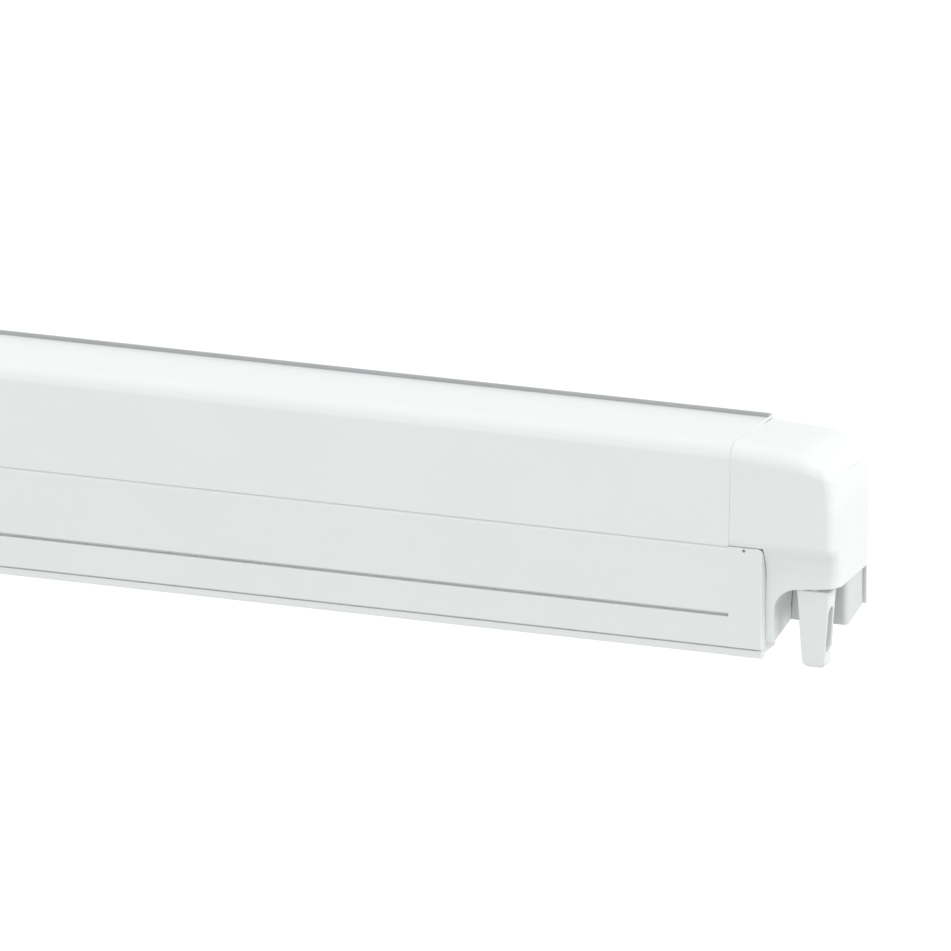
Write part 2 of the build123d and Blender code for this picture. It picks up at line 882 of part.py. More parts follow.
def cap_room():
    """What every cap leaves free: the hollow behind its front wall and the place of the lead bar's cap."""
    with BuildPart() as room:
        with BuildSketch(section(half_case - overrun)) as hollow:
            Polygon(
                (moulded_wall + wall, hood_edge_height),
                (moulded_wall + hood_lean, cap_inner_top),
                (cap_rear, cap_inner_top),
                (cap_rear, shelf_height),
                (floor_front_depth + moulded_wall, shelf_height),
                (floor_front_depth + moulded_wall, hood_edge_height),
                align=None,
            )
            fillet(hollow.vertices().group_by(Axis.Y)[-1].sort_by(Axis.X)[0], hood_radius - moulded_wall)
        extrude(amount=cap_length + overrun)
        split(bisect_by=cap_end(moulded_wall), keep=Keep.BOTTOM)
        with BuildSketch(section(half_case - overrun)):
            Polygon(
                (-overrun, -overrun),
                (-overrun, hood_edge_height),
                (floor_front_depth, hood_edge_height),
                (floor_front_depth, -overrun),
                align=None,
            )
        extrude(amount=lobe_start + overrun)
    return room


def low_room(length, bottom):
    """The hollow below the crease, as far along the cap and as low as is asked."""
    with BuildPart() as room:
        with BuildSketch(section(half_case - overrun)):
            Polygon(
                (floor_front_depth + moulded_wall, bottom),
                (cap_rear, bottom + block_rise),
                (cap_rear, shelf_height + overrun),
                (floor_front_depth + moulded_wall, shelf_height + overrun),
                align=None,
            )
        extrude(amount=length + overrun)
        with BuildSketch(section(half_case + lobe_start + moulded_wall)):
            Polygon(
                (cap_recess + moulded_wall, bottom),
                (floor_front_depth + 2 * moulded_wall, bottom),
                (floor_front_depth + 2 * moulded_wall, hood_edge_height + moulded_wall),
                (cap_recess + moulded_wall, hood_edge_height + moulded_wall),
                align=None,
            )
        extrude(amount=length - lobe_start - moulded_wall)
        split(bisect_by=cap_end(moulded_wall), keep=Keep.BOTTOM)
        if length == cap_length:
            corner = room.edges().filter_by(Axis.Z).sort_by(Axis.X)[-1]
            fillet(corner, cap_corner - moulded_wall)
    return room


arch_roof = end_wall_front + moulded_wall
lobe_floor = lobe_bottom + lobe_rise + moulded_wall


def arch_room():
    """What the arch takes away in front of the winch block, up to the inside of the end wall."""
    with BuildPart() as room:
        with BuildSketch(front_view(0)) as arch:
            Polygon(
                (half_case + lobe_end, -overrun),
                (half_case + lobe_end, arch_height),
                (half_case + lobe_end + arch_radius, arch_height),
                (half_case + cap_length, end_wall_front),
                (half_case + cap_length, -overrun),
                align=None,
            )
            fillet(arch.vertices().group_by(Axis.X)[0].sort_by(Axis.Y)[-1], arch_radius - seat_gap)
        extrude(amount=-cap_rear)
        split(bisect_by=cap_end(moulded_wall), keep=Keep.BOTTOM)
    return room


def end_wall_cut():
    """What the arch takes away of the end wall, below an edge that falls towards the back."""
    with BuildPart() as room:
        with BuildSketch(section(half_case + lobe_end)):
            Polygon(
                (-overrun, -overrun),
                (-overrun, end_wall_front),
                (cap_recess, end_wall_front),
                (cap_rear, end_wall_rear),
                (cap_rear, -overrun),
                align=None,
            )
        extrude(amount=cap_length)
        split(bisect_by=cap_end(moulded_wall), keep=Keep.TOP)
    return room


def flange_holes():
    """The two screw holes through a right-hand cap's back."""
    with BuildPart() as holes:
        with BuildSketch(front_view(case_depth)):
            with Locations(*cap_screw_places(1)):
                Circle(cap_screw_radius)
        extrude(amount=2 * wall)
    return holes


with BuildPart() as end_cap_right:
    add(cap_blank().part)
    add(cap_room().part, mode=Mode.SUBTRACT)
    add(low_room(lobe_end - moulded_wall, lobe_floor).part, mode=Mode.SUBTRACT)
    add(low_room(cap_length, arch_roof).part, mode=Mode.SUBTRACT)
    add(arch_room().part, mode=Mode.SUBTRACT)
    add(end_wall_cut().part, mode=Mode.SUBTRACT)
    with BuildPart(mode=Mode.PRIVATE) as block_room:
        with BuildSketch(section(half_case - overrun)):
            Polygon(
                (block_front - moving_gap, block_bottom - moving_gap),
                (cap_rear, block_bottom + block_rise - moving_gap),
                (cap_rear, shelf_height),
                (block_front - moving_gap, shelf_height),
                align=None,
            )
        extrude(amount=cap_length + overrun)
        split(bisect_by=cap_end(moulded_wall), keep=Keep.BOTTOM)
    add(block_room.part, mode=Mode.SUBTRACT)
    with BuildSketch(plan(arch_height - overrun)):
        with Locations((worm_x, worm_depth)):
            Circle(worm_shaft_radius + moving_gap)
    extrude(amount=arch_roof - arch_height + 2 * overrun, mode=Mode.SUBTRACT)
    add(flange_holes().part, mode=Mode.SUBTRACT)

with BuildPart() as plain_cap:
    add(cap_blank().part)
    add(cap_room().part, mode=Mode.SUBTRACT)
    add(low_room(cap_length, lobe_floor).part, mode=Mode.SUBTRACT)
    add(flange_holes().part, mode=Mode.SUBTRACT)
end_cap_left = mirrored(plain_cap)

with BuildPart() as end_cap_screws:
    flange_front = back_face - seat_gap - frame_flange_thickness
    for side in (-1, 1):
        places = cap_screw_places(side)
        with BuildSketch(front_view(case_depth)):
            with Locations(*places):
                Circle(cap_screw_radius)
        extrude(amount=case_depth - flange_front)
        with BuildSketch(front_view(case_depth)):
            with Locations(*places):
                Circle(cap_screw_head)
        extrude(amount=-cap_screw_head_height)

# Folding arms, right hand: shoulder bracket on the case, upper arm, forearm
with BuildPart() as shoulder_bracket_right:
    for low in (ear_inner, -ear_outer):
        with BuildSketch(arm_plane.offset(low)):
            Circle(knuckle_radius)
            with Locations((-bracket_base_start / 2, 0)):
                Rectangle(bracket_base_start, 2 * knuckle_radius)
            Circle(joint_pin_radius, mode=Mode.SUBTRACT)
        extrude(amount=ear_outer - ear_inner)
    base_length = frame_face - shoulder_x - bracket_base_start
    with BuildSketch(arm_plane.offset(-ear_outer)):
        with Locations((-bracket_base_start - base_length / 2, 0)):
            Rectangle(base_length, 2 * knuckle_radius)
    extrude(amount=2 * ear_outer)
shoulder_bracket_left = mirrored(shoulder_bracket_right)


def joint_pin(q, p):
    """A headed pin through the arm's plane."""
    with BuildPart() as pin:
        with BuildSketch(arm_plane.offset(-ear_outer)):
            with Locations((q, p)):
                Circle(joint_pin_radius)
        extrude(amount=2 * ear_outer)
        for plane in (arm_plane.offset(ear_outer), arm_plane.offset(-ear_outer - joint_pin_head)):
            with BuildSketch(plane):
                with Locations((q, p)):
                    Circle(joint_pin_head_radius)
            extrude(amount=joint_pin_head)
    return pin


def pin_pair(q, p):
    """The same pin at both ends of the case."""
    with BuildPart() as pair:
        pin = joint_pin(q, p)
        add(pin.part)
        add(mirrored(pin).part)
    return pair


shoulder_pins = pin_pair(0, 0)
wrist_pins = pin_pair(0, arm_fold)
elbow_pin_right = joint_pin(elbow_q, elbow_p)
elbow_pin_left = mirrored(elbow_pin_right)

plug_width = arm_width - 2 * arm_wall - 2 * running_gap
plug_height = arm_height - 2 * arm_wall - 2 * running_gap


def arm_tube(p):
    """A hollow tube between the two plugs, with its axis at p."""
    with BuildPart() as tube:
        with BuildSketch(arm_section(tube_start, p)):
            RectangleRounded(arm_width, arm_height, arm_corner)
            RectangleRounded(
                arm_width - 2 * arm_wall, arm_height - 2 * arm_wall, arm_corner - arm_wall, mode=Mode.SUBTRACT
            )
        extrude(amount=elbow_q - elbow_reach - tube_start)
    return tube


def arm_plug(q, p, towards):
    """The part of a casting that sits inside a tube's end."""
    with BuildPart() as plug:
        with BuildSketch(arm_section(q, p)):
            RectangleRounded(plug_width, plug_height, arm_corner - arm_wall)
        extrude(amount=towards * plug_length)
    return plug


def arm_eye(q, p, radius, neck_q, neck_p, low, high):
    """A flat eye round a pin with a neck that runs to a tube's end."""
    with BuildPart() as eye:
        with BuildSketch(arm_plane.offset(low)):
            with BuildSketch(mode=Mode.PRIVATE) as blank:
                with Locations((q, p)):
                    Circle(radius)
                with Locations((neck_q + copysign(seat_gap / 2, q - neck_q), neck_p)):
                    Rectangle(seat_gap, plug_width)
            make_hull(blank.edges())
            with Locations((q, p)):
                Circle(joint_pin_radius + running_gap, mode=Mode.SUBTRACT)
        extrude(amount=high - low)
    return eye


upper_arm_tube_right = arm_tube(upper_tube_offset)
forearm_tube_right = arm_tube(fore_tube_offset)
elbow_end = elbow_q - elbow_reach

with BuildPart() as shoulder_knuckle_right:
    add(arm_plug(tube_start, upper_tube_offset, 1).part)
    add(arm_eye(0, 0, knuckle_radius, tube_start, upper_tube_offset, -tongue_half, tongue_half).part)

with BuildPart() as elbow_fork_right:
    add(arm_plug(elbow_end, upper_tube_offset, -1).part)
    for low in (ear_inner, -ear_outer):
        high = low + ear_outer - ear_inner
        add(arm_eye(elbow_q, elbow_p, elbow_radius, elbow_end, upper_tube_offset, low, high).part)

with BuildPart() as elbow_tongue_right:
    add(arm_plug(elbow_end, fore_tube_offset, -1).part)
    add(arm_eye(elbow_q, elbow_p, elbow_radius, elbow_end, fore_tube_offset, -tongue_half, tongue_half).part)

with BuildPart() as wrist_tongue_right:
    add(arm_plug(tube_start, fore_tube_offset, 1).part)
    add(arm_eye(0, arm_fold, knuckle_radius, tube_start, fore_tube_offset, -tongue_half, tongue_half).part)

upper_arm_tube_left = mirrored(upper_arm_tube_right)
forearm_tube_left = mirrored(forearm_tube_right)
shoulder_knuckle_left = mirrored(shoulder_knuckle_right)
elbow_fork_left = mirrored(elbow_fork_right)
elbow_tongue_left = mirrored(elbow_tongue_right)
wrist_tongue_left = mirrored(wrist_tongue_right)

# Wrist brackets on the back of the lead bar: two ears and a foot plate
with BuildPart() as wrist_bracket_right:
    ear_reach = (shoulder_depth - lead_rear_depth) / cos(tilt) + overrun
    for low in (ear_inner, -ear_outer):
        with BuildSketch(arm_plane.offset(low)):
            with Locations((0, arm_fold)):
                Circle(knuckle_radius)
            with Locations((-wrist_base_near / 2 + knuckle_radius / 2, (arm_fold + ear_reach) / 2)):
                Rectangle(wrist_base_near + knuckle_radius, ear_reach - arm_fold)
            with Locations((0, arm_fold)):
                Circle(joint_pin_radius, mode=Mode.SUBTRACT)
        extrude(amount=ear_outer - ear_inner)
    with BuildSketch(front_view(lead_rear_depth)):
        with Locations((shoulder_x + knuckle_radius + moving_gap, shoulder_height - arm_fold * sin(tilt))):
            Rectangle(
                wrist_base_far, 2 * ear_outer + wrist_base_thickness, align=(Align.MIN, Align.CENTER)
            )
    extrude(amount=-wrist_base_thickness)
    split(bisect_by=front_view(lead_rear_depth), keep=Keep.BOTTOM)
wrist_bracket_left = mirrored(wrist_bracket_right)

# Support legs, right hand, stored in the lead bar's channel
clip_x = [leg_x, leg_x - clip_place_one, leg_x - clip_place_two]
cheek_outer = (lead_rear_depth - lead_rear_wall - channel_front) / 2 - seat_gap


def channel_clip(x, length):
    """A clip of inverted U section under the channel's roof."""
    with BuildPart() as clip:
        with BuildSketch(section(x - length / 2)):
            with Locations((leg_depth, channel_roof)):
                Rectangle(2 * cheek_outer, clip_web, align=(Align.CENTER, Align.MAX))
            for side in (-1, 1):
                with Locations((leg_depth + side * (cheek_outer - clip_wall / 2), channel_roof)):
                    Rectangle(clip_wall, channel_roof - cheek_bottom, align=(Align.CENTER, Align.MAX))
        extrude(amount=length)
    return clip


def leg_pin_bar(radius):
    with BuildPart() as bar:
        with BuildSketch(front_view(leg_depth + cheek_outer)):
            with Locations((leg_x, leg_height)):
                Circle(radius)
        extrude(amount=2 * cheek_outer)
    return bar


with BuildPart() as leg_brackets:
    bracket = channel_clip(leg_x, clip_length)
    bar = leg_pin_bar(leg_pin_radius)
    for piece in (bracket, mirrored(bracket)):
        add(piece.part)
    for piece in (bar, mirrored(bar)):
        add(piece.part, mode=Mode.SUBTRACT)

with BuildPart() as leg_pivot_pins:
    bar = leg_pin_bar(leg_pin_radius)
    add(bar.part)
    add(mirrored(bar).part)

with BuildPart() as leg_clips:
    for x in clip_x[1:]:
        clip = channel_clip(x, clip_length)
        add(clip.part)
        add(mirrored(clip).part)

collar_x = leg_x - leg_length
with BuildPart() as leg_tube_right:
    with BuildSketch(section(leg_x - leg_knuckle_length)):
        with Locations((leg_depth, leg_height)):
            Rectangle(leg_width, leg_rise)
    extrude(amount=-(leg_length - leg_knuckle_length))
    with BuildSketch(section(collar_x)):
        with Locations((leg_depth, leg_height)):
            Rectangle(collar_width, collar_rise)
    extrude(amount=collar_length)
    with BuildSketch(section(leg_x - leg_knuckle_length)):
        with Locations((leg_depth, leg_height)):
            Rectangle(leg_width - 2 * leg_wall, leg_rise - 2 * leg_wall)
    extrude(amount=-leg_length, mode=Mode.SUBTRACT)
    with BuildSketch(front_view(leg_depth + leg_width / 2)):
        with Locations((leg_x, leg_height)):
            Circle(leg_rise / 2)
        with Locations((leg_x - leg_knuckle_length / 2, leg_height)):
            Rectangle(leg_knuckle_length, leg_rise)
        with Locations((leg_x, leg_height)):
            Circle(leg_pin_radius + running_gap, mode=Mode.SUBTRACT)
    extrude(amount=leg_width)
    with BuildSketch(front_view(leg_depth + lever_boss_width / 2)):
        with Locations((collar_x + collar_length / 2, leg_height - lever_drop)):
            Rectangle(
                2 * lever_boss_radius, lever_boss_radius + lever_thickness, align=(Align.CENTER, Align.MIN)
            )
            Circle(lever_boss_radius)
            Circle(lever_pin_radius + running_gap, mode=Mode.SUBTRACT)
    extrude(amount=lever_boss_width)

with BuildPart() as leg_inner_right:
    with BuildSketch(section(leg_tip_x)):
        with Locations((leg_depth, leg_height)):
            Rectangle(inner_width, inner_rise)
            Rectangle(inner_width - 2 * leg_wall, inner_rise - 2 * leg_wall, mode=Mode.SUBTRACT)
    extrude(amount=inner_length)
    with BuildSketch(front_view(leg_depth + inner_width / 2)):
        with Locations((leg_tip_x, leg_height)):
            Circle(inner_rise / 2)
        with Locations((leg_tip_x + inner_rise / 2, leg_height)):
            Rectangle(inner_rise, inner_rise - 2 * leg_wall)
    extrude(amount=inner_width)
    with BuildSketch(front_view(leg_depth + inner_width / 2)):
        with Locations((leg_tip_x, leg_height)):
            Circle(foot_pin_radius + running_gap)
    extrude(amount=inner_width, mode=Mode.SUBTRACT)

with BuildPart() as leg_foot_right:
    foot_half = inner_width / 2 + foot_gap
    for side in (-1, 1):
        inner = leg_depth + side * foot_half
        near = inner if side < 0 else inner + foot_cheek
        with BuildSketch(front_view(near)):
            with Locations((leg_tip_x, leg_height)):
                Circle(foot_heel)
            with Locations((leg_tip_x, leg_height)):
                Rectangle(2 * foot_heel, foot_offset, align=(Align.CENTER, Align.MAX))
        extrude(amount=foot_cheek)
    with BuildSketch(front_view(leg_depth + foot_half + foot_cheek)):
        with Locations((leg_tip_x - foot_heel, leg_height - foot_offset)):
            Rectangle(foot_heel + foot_reach, foot_thickness, align=(Align.MIN, Align.MAX))
        with Locations((leg_tip_x, leg_height)):
            Circle(foot_pin_radius)
    extrude(amount=2 * (foot_half + foot_cheek))

with BuildPart() as leg_lever_right:
    lever_x = collar_x + collar_length / 2
    cheek_inner = lever_boss_width / 2 + seat_gap
    for start in (leg_depth - cheek_inner, leg_depth + cheek_inner + lever_cheek):
        with BuildSketch(front_view(start)):
            with Locations((lever_x, leg_height - lever_drop)):
                Circle(lever_boss_radius)
                Rectangle(lever_length / 2, lever_thickness, align=(Align.MIN, Align.CENTER))
        extrude(amount=lever_cheek)
    with BuildSketch(front_view(leg_depth + cheek_inner + lever_cheek)):
        with Locations((lever_x, leg_height - lever_drop)):
            Circle(lever_pin_radius)
    extrude(amount=2 * (cheek_inner + lever_cheek))
    with BuildSketch(front_view(leg_depth + lever_width / 2)):
        with Locations((lever_x + lever_length / 4, leg_height - lever_drop)):
            Rectangle(lever_length, lever_thickness, align=(Align.MIN, Align.CENTER))
    extrude(amount=lever_width)

leg_tube_left = mirrored(leg_tube_right)
leg_inner_left = mirrored(leg_inner_right)
leg_foot_left = mirrored(leg_foot_right)
leg_lever_left = mirrored(leg_lever_right)

# Fabric between the lead bar and the roll, as it lies with the case closed
run_start = lead_head_depth + seat_gap
run_end = roller_depth + (roll_radius + seat_gap) * sin(tilt)
with BuildPart() as fabric_run:
    with BuildSketch(section(-fabric_half_width)):
        Polygon(
            (run_start, fabric_line(run_start) - fabric_thickness / 2),
            (run_end, fabric_line(run_end) - fabric_thickness / 2),
            (run_end, fabric_line(run_end) + fabric_thickness / 2),
            (run_start, fabric_line(run_start) + fabric_thickness / 2),
            align=None,
        )
    extrude(amount=2 * fabric_half_width)

pieces = {
    "case_hood": case_hood,
    "case_back": case_back,
    "case_floor": case_floor,
    "rain_seal": rain_seal,
    "front_seal": front_seal,
    "wall_bracket_left": wall_bracket_left,
    "wall_bracket_centre": wall_bracket_centre,
    "wall_bracket_right": wall_bracket_right,
    "bracket_screws": bracket_screws,
    "end_frame_right": end_frame_right,
    "end_frame_left": end_frame_left,
    "roller_bearings": roller_bearings,
    "end_cap_right": end_cap_right,
    "end_cap_left": end_cap_left,
    "end_cap_screws": end_cap_screws,
    "winch_housing": winch_housing,
    "shoulder_bracket_right": shoulder_bracket_right,
    "shoulder_bracket_left": shoulder_bracket_left,
    "shoulder_pins": shoulder_pins,
    "roller_tube": roller_tube,
    "roller_plug_right": roller_plug_right,
    "roller_plug_left": roller_plug_left,
    "fabric_roll": fabric_roll,
    "worm_wheel": worm_wheel,
    "worm_shaft": worm_shaft,
    "crank_eye": crank_eye,
    "eye_pin": eye_pin,
    "upper_arm_tube_right": upper_arm_tube_right,
    "shoulder_knuckle_right": shoulder_knuckle_right,
    "elbow_fork_right": elbow_fork_right,
    "elbow_pin_right": elbow_pin_right,
    "forearm_tube_right": forearm_tube_right,
    "elbow_tongue_right": elbow_tongue_right,
    "wrist_tongue_right": wrist_tongue_right,
    "upper_arm_tube_left": upper_arm_tube_left,
    "shoulder_knuckle_left": shoulder_knuckle_left,
    "elbow_fork_left": elbow_fork_left,
    "elbow_pin_left": elbow_pin_left,
    "forearm_tube_left": forearm_tube_left,
    "elbow_tongue_left": elbow_tongue_left,
    "wrist_tongue_left": wrist_tongue_left,
    "lead_bar_profile": lead_bar_profile,
    "lead_bar_cap_right": lead_bar_cap_right,
    "lead_bar_cap_left": lead_bar_cap_left,
    "fabric_keder": fabric_keder,
    "wrist_bracket_right": wrist_bracket_right,
    "wrist_bracket_left": wrist_bracket_left,
    "wrist_pins": wrist_pins,
    "leg_brackets": leg_brackets,
    "leg_pivot_pins": leg_pivot_pins,
    "leg_clips": leg_clips,
    "leg_tube_right": leg_tube_right,
    "leg_inner_right": leg_inner_right,
    "leg_foot_right": leg_foot_right,
    "leg_lever_right": leg_lever_right,
    "leg_tube_left": leg_tube_left,
    "leg_inner_left": leg_inner_left,
    "leg_foot_left": leg_foot_left,
    "leg_lever_left": leg_lever_left,
    "fabric_run": fabric_run,
}
os.makedirs("parts", exist_ok=True)
for label, piece in pieces.items():
    piece.part.label = label
    export_step(piece.part, f"parts/{label}.step")
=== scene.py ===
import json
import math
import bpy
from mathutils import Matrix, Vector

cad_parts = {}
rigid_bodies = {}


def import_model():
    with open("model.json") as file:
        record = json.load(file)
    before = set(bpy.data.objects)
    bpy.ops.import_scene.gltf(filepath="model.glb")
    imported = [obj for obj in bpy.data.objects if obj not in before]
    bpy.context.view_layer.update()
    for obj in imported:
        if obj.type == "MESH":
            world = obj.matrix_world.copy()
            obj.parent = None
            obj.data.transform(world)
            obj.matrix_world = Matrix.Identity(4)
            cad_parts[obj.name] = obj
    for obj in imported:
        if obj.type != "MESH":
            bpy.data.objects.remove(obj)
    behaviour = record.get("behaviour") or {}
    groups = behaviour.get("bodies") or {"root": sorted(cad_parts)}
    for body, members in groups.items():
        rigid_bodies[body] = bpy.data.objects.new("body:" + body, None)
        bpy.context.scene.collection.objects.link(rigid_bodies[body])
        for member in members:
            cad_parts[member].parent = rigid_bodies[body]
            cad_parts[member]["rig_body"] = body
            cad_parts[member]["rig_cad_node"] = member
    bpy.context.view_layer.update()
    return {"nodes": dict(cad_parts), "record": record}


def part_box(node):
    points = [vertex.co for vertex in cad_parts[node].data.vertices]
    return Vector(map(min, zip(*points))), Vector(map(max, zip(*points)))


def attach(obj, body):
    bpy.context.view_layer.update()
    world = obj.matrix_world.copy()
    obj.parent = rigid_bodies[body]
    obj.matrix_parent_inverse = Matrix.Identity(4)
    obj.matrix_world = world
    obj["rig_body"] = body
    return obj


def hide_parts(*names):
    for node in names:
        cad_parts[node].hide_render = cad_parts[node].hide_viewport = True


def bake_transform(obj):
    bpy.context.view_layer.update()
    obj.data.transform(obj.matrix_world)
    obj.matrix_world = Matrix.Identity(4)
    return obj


bl_info = {
    "name": "Roll out awning",
    "version": (1, 0, 0),
    "blender": (4, 5, 0),
    "location": "View3D > Sidebar > Awning",
    "description": "Looks of a closed cassette awning on its packed frame",
    "category": "Object",
}

from contextlib import contextmanager

import bmesh
import bpy
from mathutils import Vector

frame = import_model()
slot_of = {item["node"]: item["material_slot"] for item in frame["record"]["subparts"]}
finishes = {}

# Places in the frame, the cloth's width and length and the stage are in metres. All other sizes are in mm,
# and a section point is depth behind the front face and height over the lip's bottom.
MM = 0.001
FRONT_Y = -0.098
LIP_Z = -0.080
HALF_CASE = 2.180
TILT = math.radians(8)
SHARP_ANGLE = 38

# Hood
HOOD_FOOT = (0, 78.75)
HOOD_CREST = (3.6, 150.9)
HOOD_WALL = (90, 148)
HOOD_SHEET = 2

# Lead bar
BAR_HEAD = [(0, 78.6), (13.5, 78.6)]
CORD_SLOT = [(13.5, 64.3), (9, 63.7), (9, 62.1), (13.5, 62.7)]
BAR_BACK = [(13.5, 57.5), (28, 55.5), (28, 3)]
LEG_CHANNEL = [(26, 3), (26, 34), (6.5, 34)]
LIP = [(6.5, 0), (1, 0), (1, 5.2), (3.5, 5.2)]
BAR_FOOT = [(3.5, 6.5), (0, 6.5)]
FRONT_GROOVE = [(0, 28.2), (5, 28.2), (5, 30.6), (0, 30.6)]
BAR_SECTION = BAR_FOOT + FRONT_GROOVE + BAR_HEAD + CORD_SLOT + BAR_BACK + LEG_CHANNEL + LIP
BAR_ROUNDS = [
    (*BAR_HEAD[0], 2.4, 8),
    (*FRONT_GROOVE[0], 0.4, 3),
    (*FRONT_GROOVE[3], 0.4, 3),
    (*BAR_FOOT[1], 0.5, 3),
    (*LIP[2], 0.5, 3),
    (*LIP[1], 1, 4),
    (*BAR_HEAD[1], 0.6, 3),
    (*BAR_BACK[1], 0.6, 3),
]

# Caps of the lead bar
BAR_CAP_SECTION = BAR_FOOT + BAR_HEAD + BAR_BACK + [(6.5, 3)] + LIP
BAR_CAP_LENGTH = 24.4
BAR_CAP_CORNER = 3.5
BAR_CAP_EDGE = 0.7
BAR_CAP_STRIPS = (8, 15)
DRAIN_PLACE = 11.1
DRAIN_HEIGHT = 76.6
DRAIN_RADIUS = 1.2
DRAIN_DRILL = 8

# Case caps as their nodes have them, and the crown that the photograph shows
CAP_EDGE = 0.45
CAP_TOP = 145.4
CAP_RADIUS = 20
CAP_FRONT = 3.4
CAP_REAR = 88
CAP_FALL = math.tan(math.radians(4.2))
CROWN_RADIUS = 11
CROWN_RISE = 5.5
CROWN_BLEND = 14

# Cuts across the case caps, in height and from the outer end, so that their faces can bend
CAP_CUT_HEIGHTS = (96, 104, 110, 116, 122, 127, 132, 136, 140)
CAP_CUT_INSETS = (6, 12, 18, 24, 31, 38, 46)
CAGE_COUNTS = (14, 40, 52)

# Moves of the case caps. A pair of places or heights is where a soft step begins and ends
END_LEAN = 3.4
LEAN_FROM = 108
LEAN_RUN = 27
LEAN_PLACES = (40, 68)
CORNER_DROP = 9.4
CORNER_FROM = 46
CORNER_RUN = 26
CORNER_END = 71
CORNER_HEIGHTS = (98, 140)
CORNER_DEPTHS = (5, 60)
SEAM_DROP = 0.55
SEAM_PLACES = (24, 26)
SEAM_LOW = (74, 77)
SEAM_HIGH = (80, 86)
ARCH_WIDENING = 4.8
ARCH_LEFT = (26, 36)
ARCH_RIGHT = (56, 72)
ARCH_HEIGHTS = (50, 58)

# Winch
BLOCK_EDGE = 0.7
BLOCK_CORNER = (71.58, 44)
BLOCK_ROUND = 4
EYE_X = HALF_CASE + 56.5 * MM
EYE_DEPTH = 22
EYE_BOTTOM = -8
EYE_SIZE = (23.8, 15, 56.2)
EYE_TAPER_SHARES = (0.68, 0.84, 1)
EYE_TIP_ROUND = 5
EYE_EDGE = 1.1
SLOT_SIZE = (40, 9.8, 33)
SLOT_HEIGHT = 19.5
SLOT_ROUND = 4.85

# Castings and plates
CASTING_EDGE = 0.7
FOOT_EDGE = 0.5
PLATE_EDGE = 0.35

# Cloth
CLOTH_HALF_WIDTH = 2.140
CLOTH_LENGTH = 2.51
ROLLER = (48, 106)
ROLL_RADIUS = 37
ROLL_MARGIN = 10
ROLL_WOUND = 6.5
ROLL_EDGE = 0.2
CORD_DEPTH = 9
CORD_RADIUS = 3.7

# Stage. The view's height is a section height in mm
FLOOR_Z = -2.4675
FLOOR_SHADE = 0.62
WORLD_STRENGTH = 0.75
LAMPS = [
    ("key_light", (0.78, 0.08, 0.64), 1.66, 30),
    ("fill_light", (0.0, -1.0, 0.0), 1.15, 60),
]
VIEW_SIDE = math.radians(20.3)
VIEW_RISE = math.radians(17.2)
VIEW_X = 1.9947
VIEW_HEIGHT = 109.9
VIEW_DISTANCE = 18.2
VIEW_LENS = 1000
VIEW_END = 400


def at(x, depth, height):
    """A point of the row frame from a place along the case in metres and a section point in mm."""
    return Vector((x, FRONT_Y + depth * MM, LIP_Z + height * MM))


# Selecting and shaping
def alone(obj):
    """Selects this object only and makes it active."""
    bpy.ops.object.select_all(action="DESELECT")
    obj.select_set(True)
    bpy.context.view_layer.objects.active = obj
    return obj


@contextmanager
def edited(obj):
    """Edit mode on this object only."""
    alone(obj)
    bpy.ops.object.mode_set(mode="EDIT")
    yield obj
    bpy.ops.object.mode_set(mode="OBJECT")


def primitive(name, add, **options):
    """A new primitive under the piece's own name, with its place and size in its mesh."""
    bpy.ops.object.select_all(action="DESELECT")
    add(**options)
    obj = bpy.context.object
    obj.name = name
    bpy.ops.object.transform_apply(location=True, rotation=True, scale=True)
    return obj


def pick(obj, kind, test):
    """Selects in edit mode the vertices, edges or faces whose middle passes the test."""
    mesh = bmesh.from_edit_mesh(obj.data)
    for group in (mesh.verts, mesh.edges, mesh.faces):
        for item in group:
            item.select = False
    chosen = {"VERT": mesh.verts, "EDGE": mesh.edges, "FACE": mesh.faces}[kind]
    count = 0
    for item in chosen:
        middle = item.co if kind == "VERT" else sum((v.co for v in item.verts), Vector()) / len(item.verts)
        if test(item, middle):
            item.select = True
            count += 1
    mesh.select_mode = {kind}
    bpy.context.tool_settings.mesh_select_mode = (kind == "VERT", kind == "EDGE", kind == "FACE")
    mesh.select_flush_mode()
    bmesh.update_edit_mesh(obj.data)
    if not count:
        raise RuntimeError(f"nothing was picked on {obj.name}")


def near(point, reach=MM / 5):
    """A test that passes for long edges along the case at this section point."""
    return lambda item, middle: (
        abs(middle.y - point.y) < reach
        and abs(middle.z - point.z) < reach
        and abs(item.verts[0].co.x - item.verts[1].co.x) > reach
    )


def draw_chain(obj, points, closed):
    """Draws a wire point by point from the plane's merged vertex; closed ones are filled."""
    bpy.ops.mesh.select_mode(type="VERT")
    bpy.ops.mesh.select_all(action="SELECT")
    bpy.ops.mesh.merge(type="CENTER")
    for before, after in zip(points, points[1:]):
        bpy.ops.mesh.extrude_vertices_move(TRANSFORM_OT_translate={"value": after - before})
    if closed:
        ends = (points[0], points[-1])
        pick(obj, "VERT", lambda vertex, place: any((place - end).length < MM / 100 for end in ends))
        bpy.ops.mesh.edge_face_add()
        bpy.ops.mesh.select_all(action="SELECT")
        bpy.ops.mesh.edge_face_add()
    bpy.ops.mesh.select_all(action="SELECT")


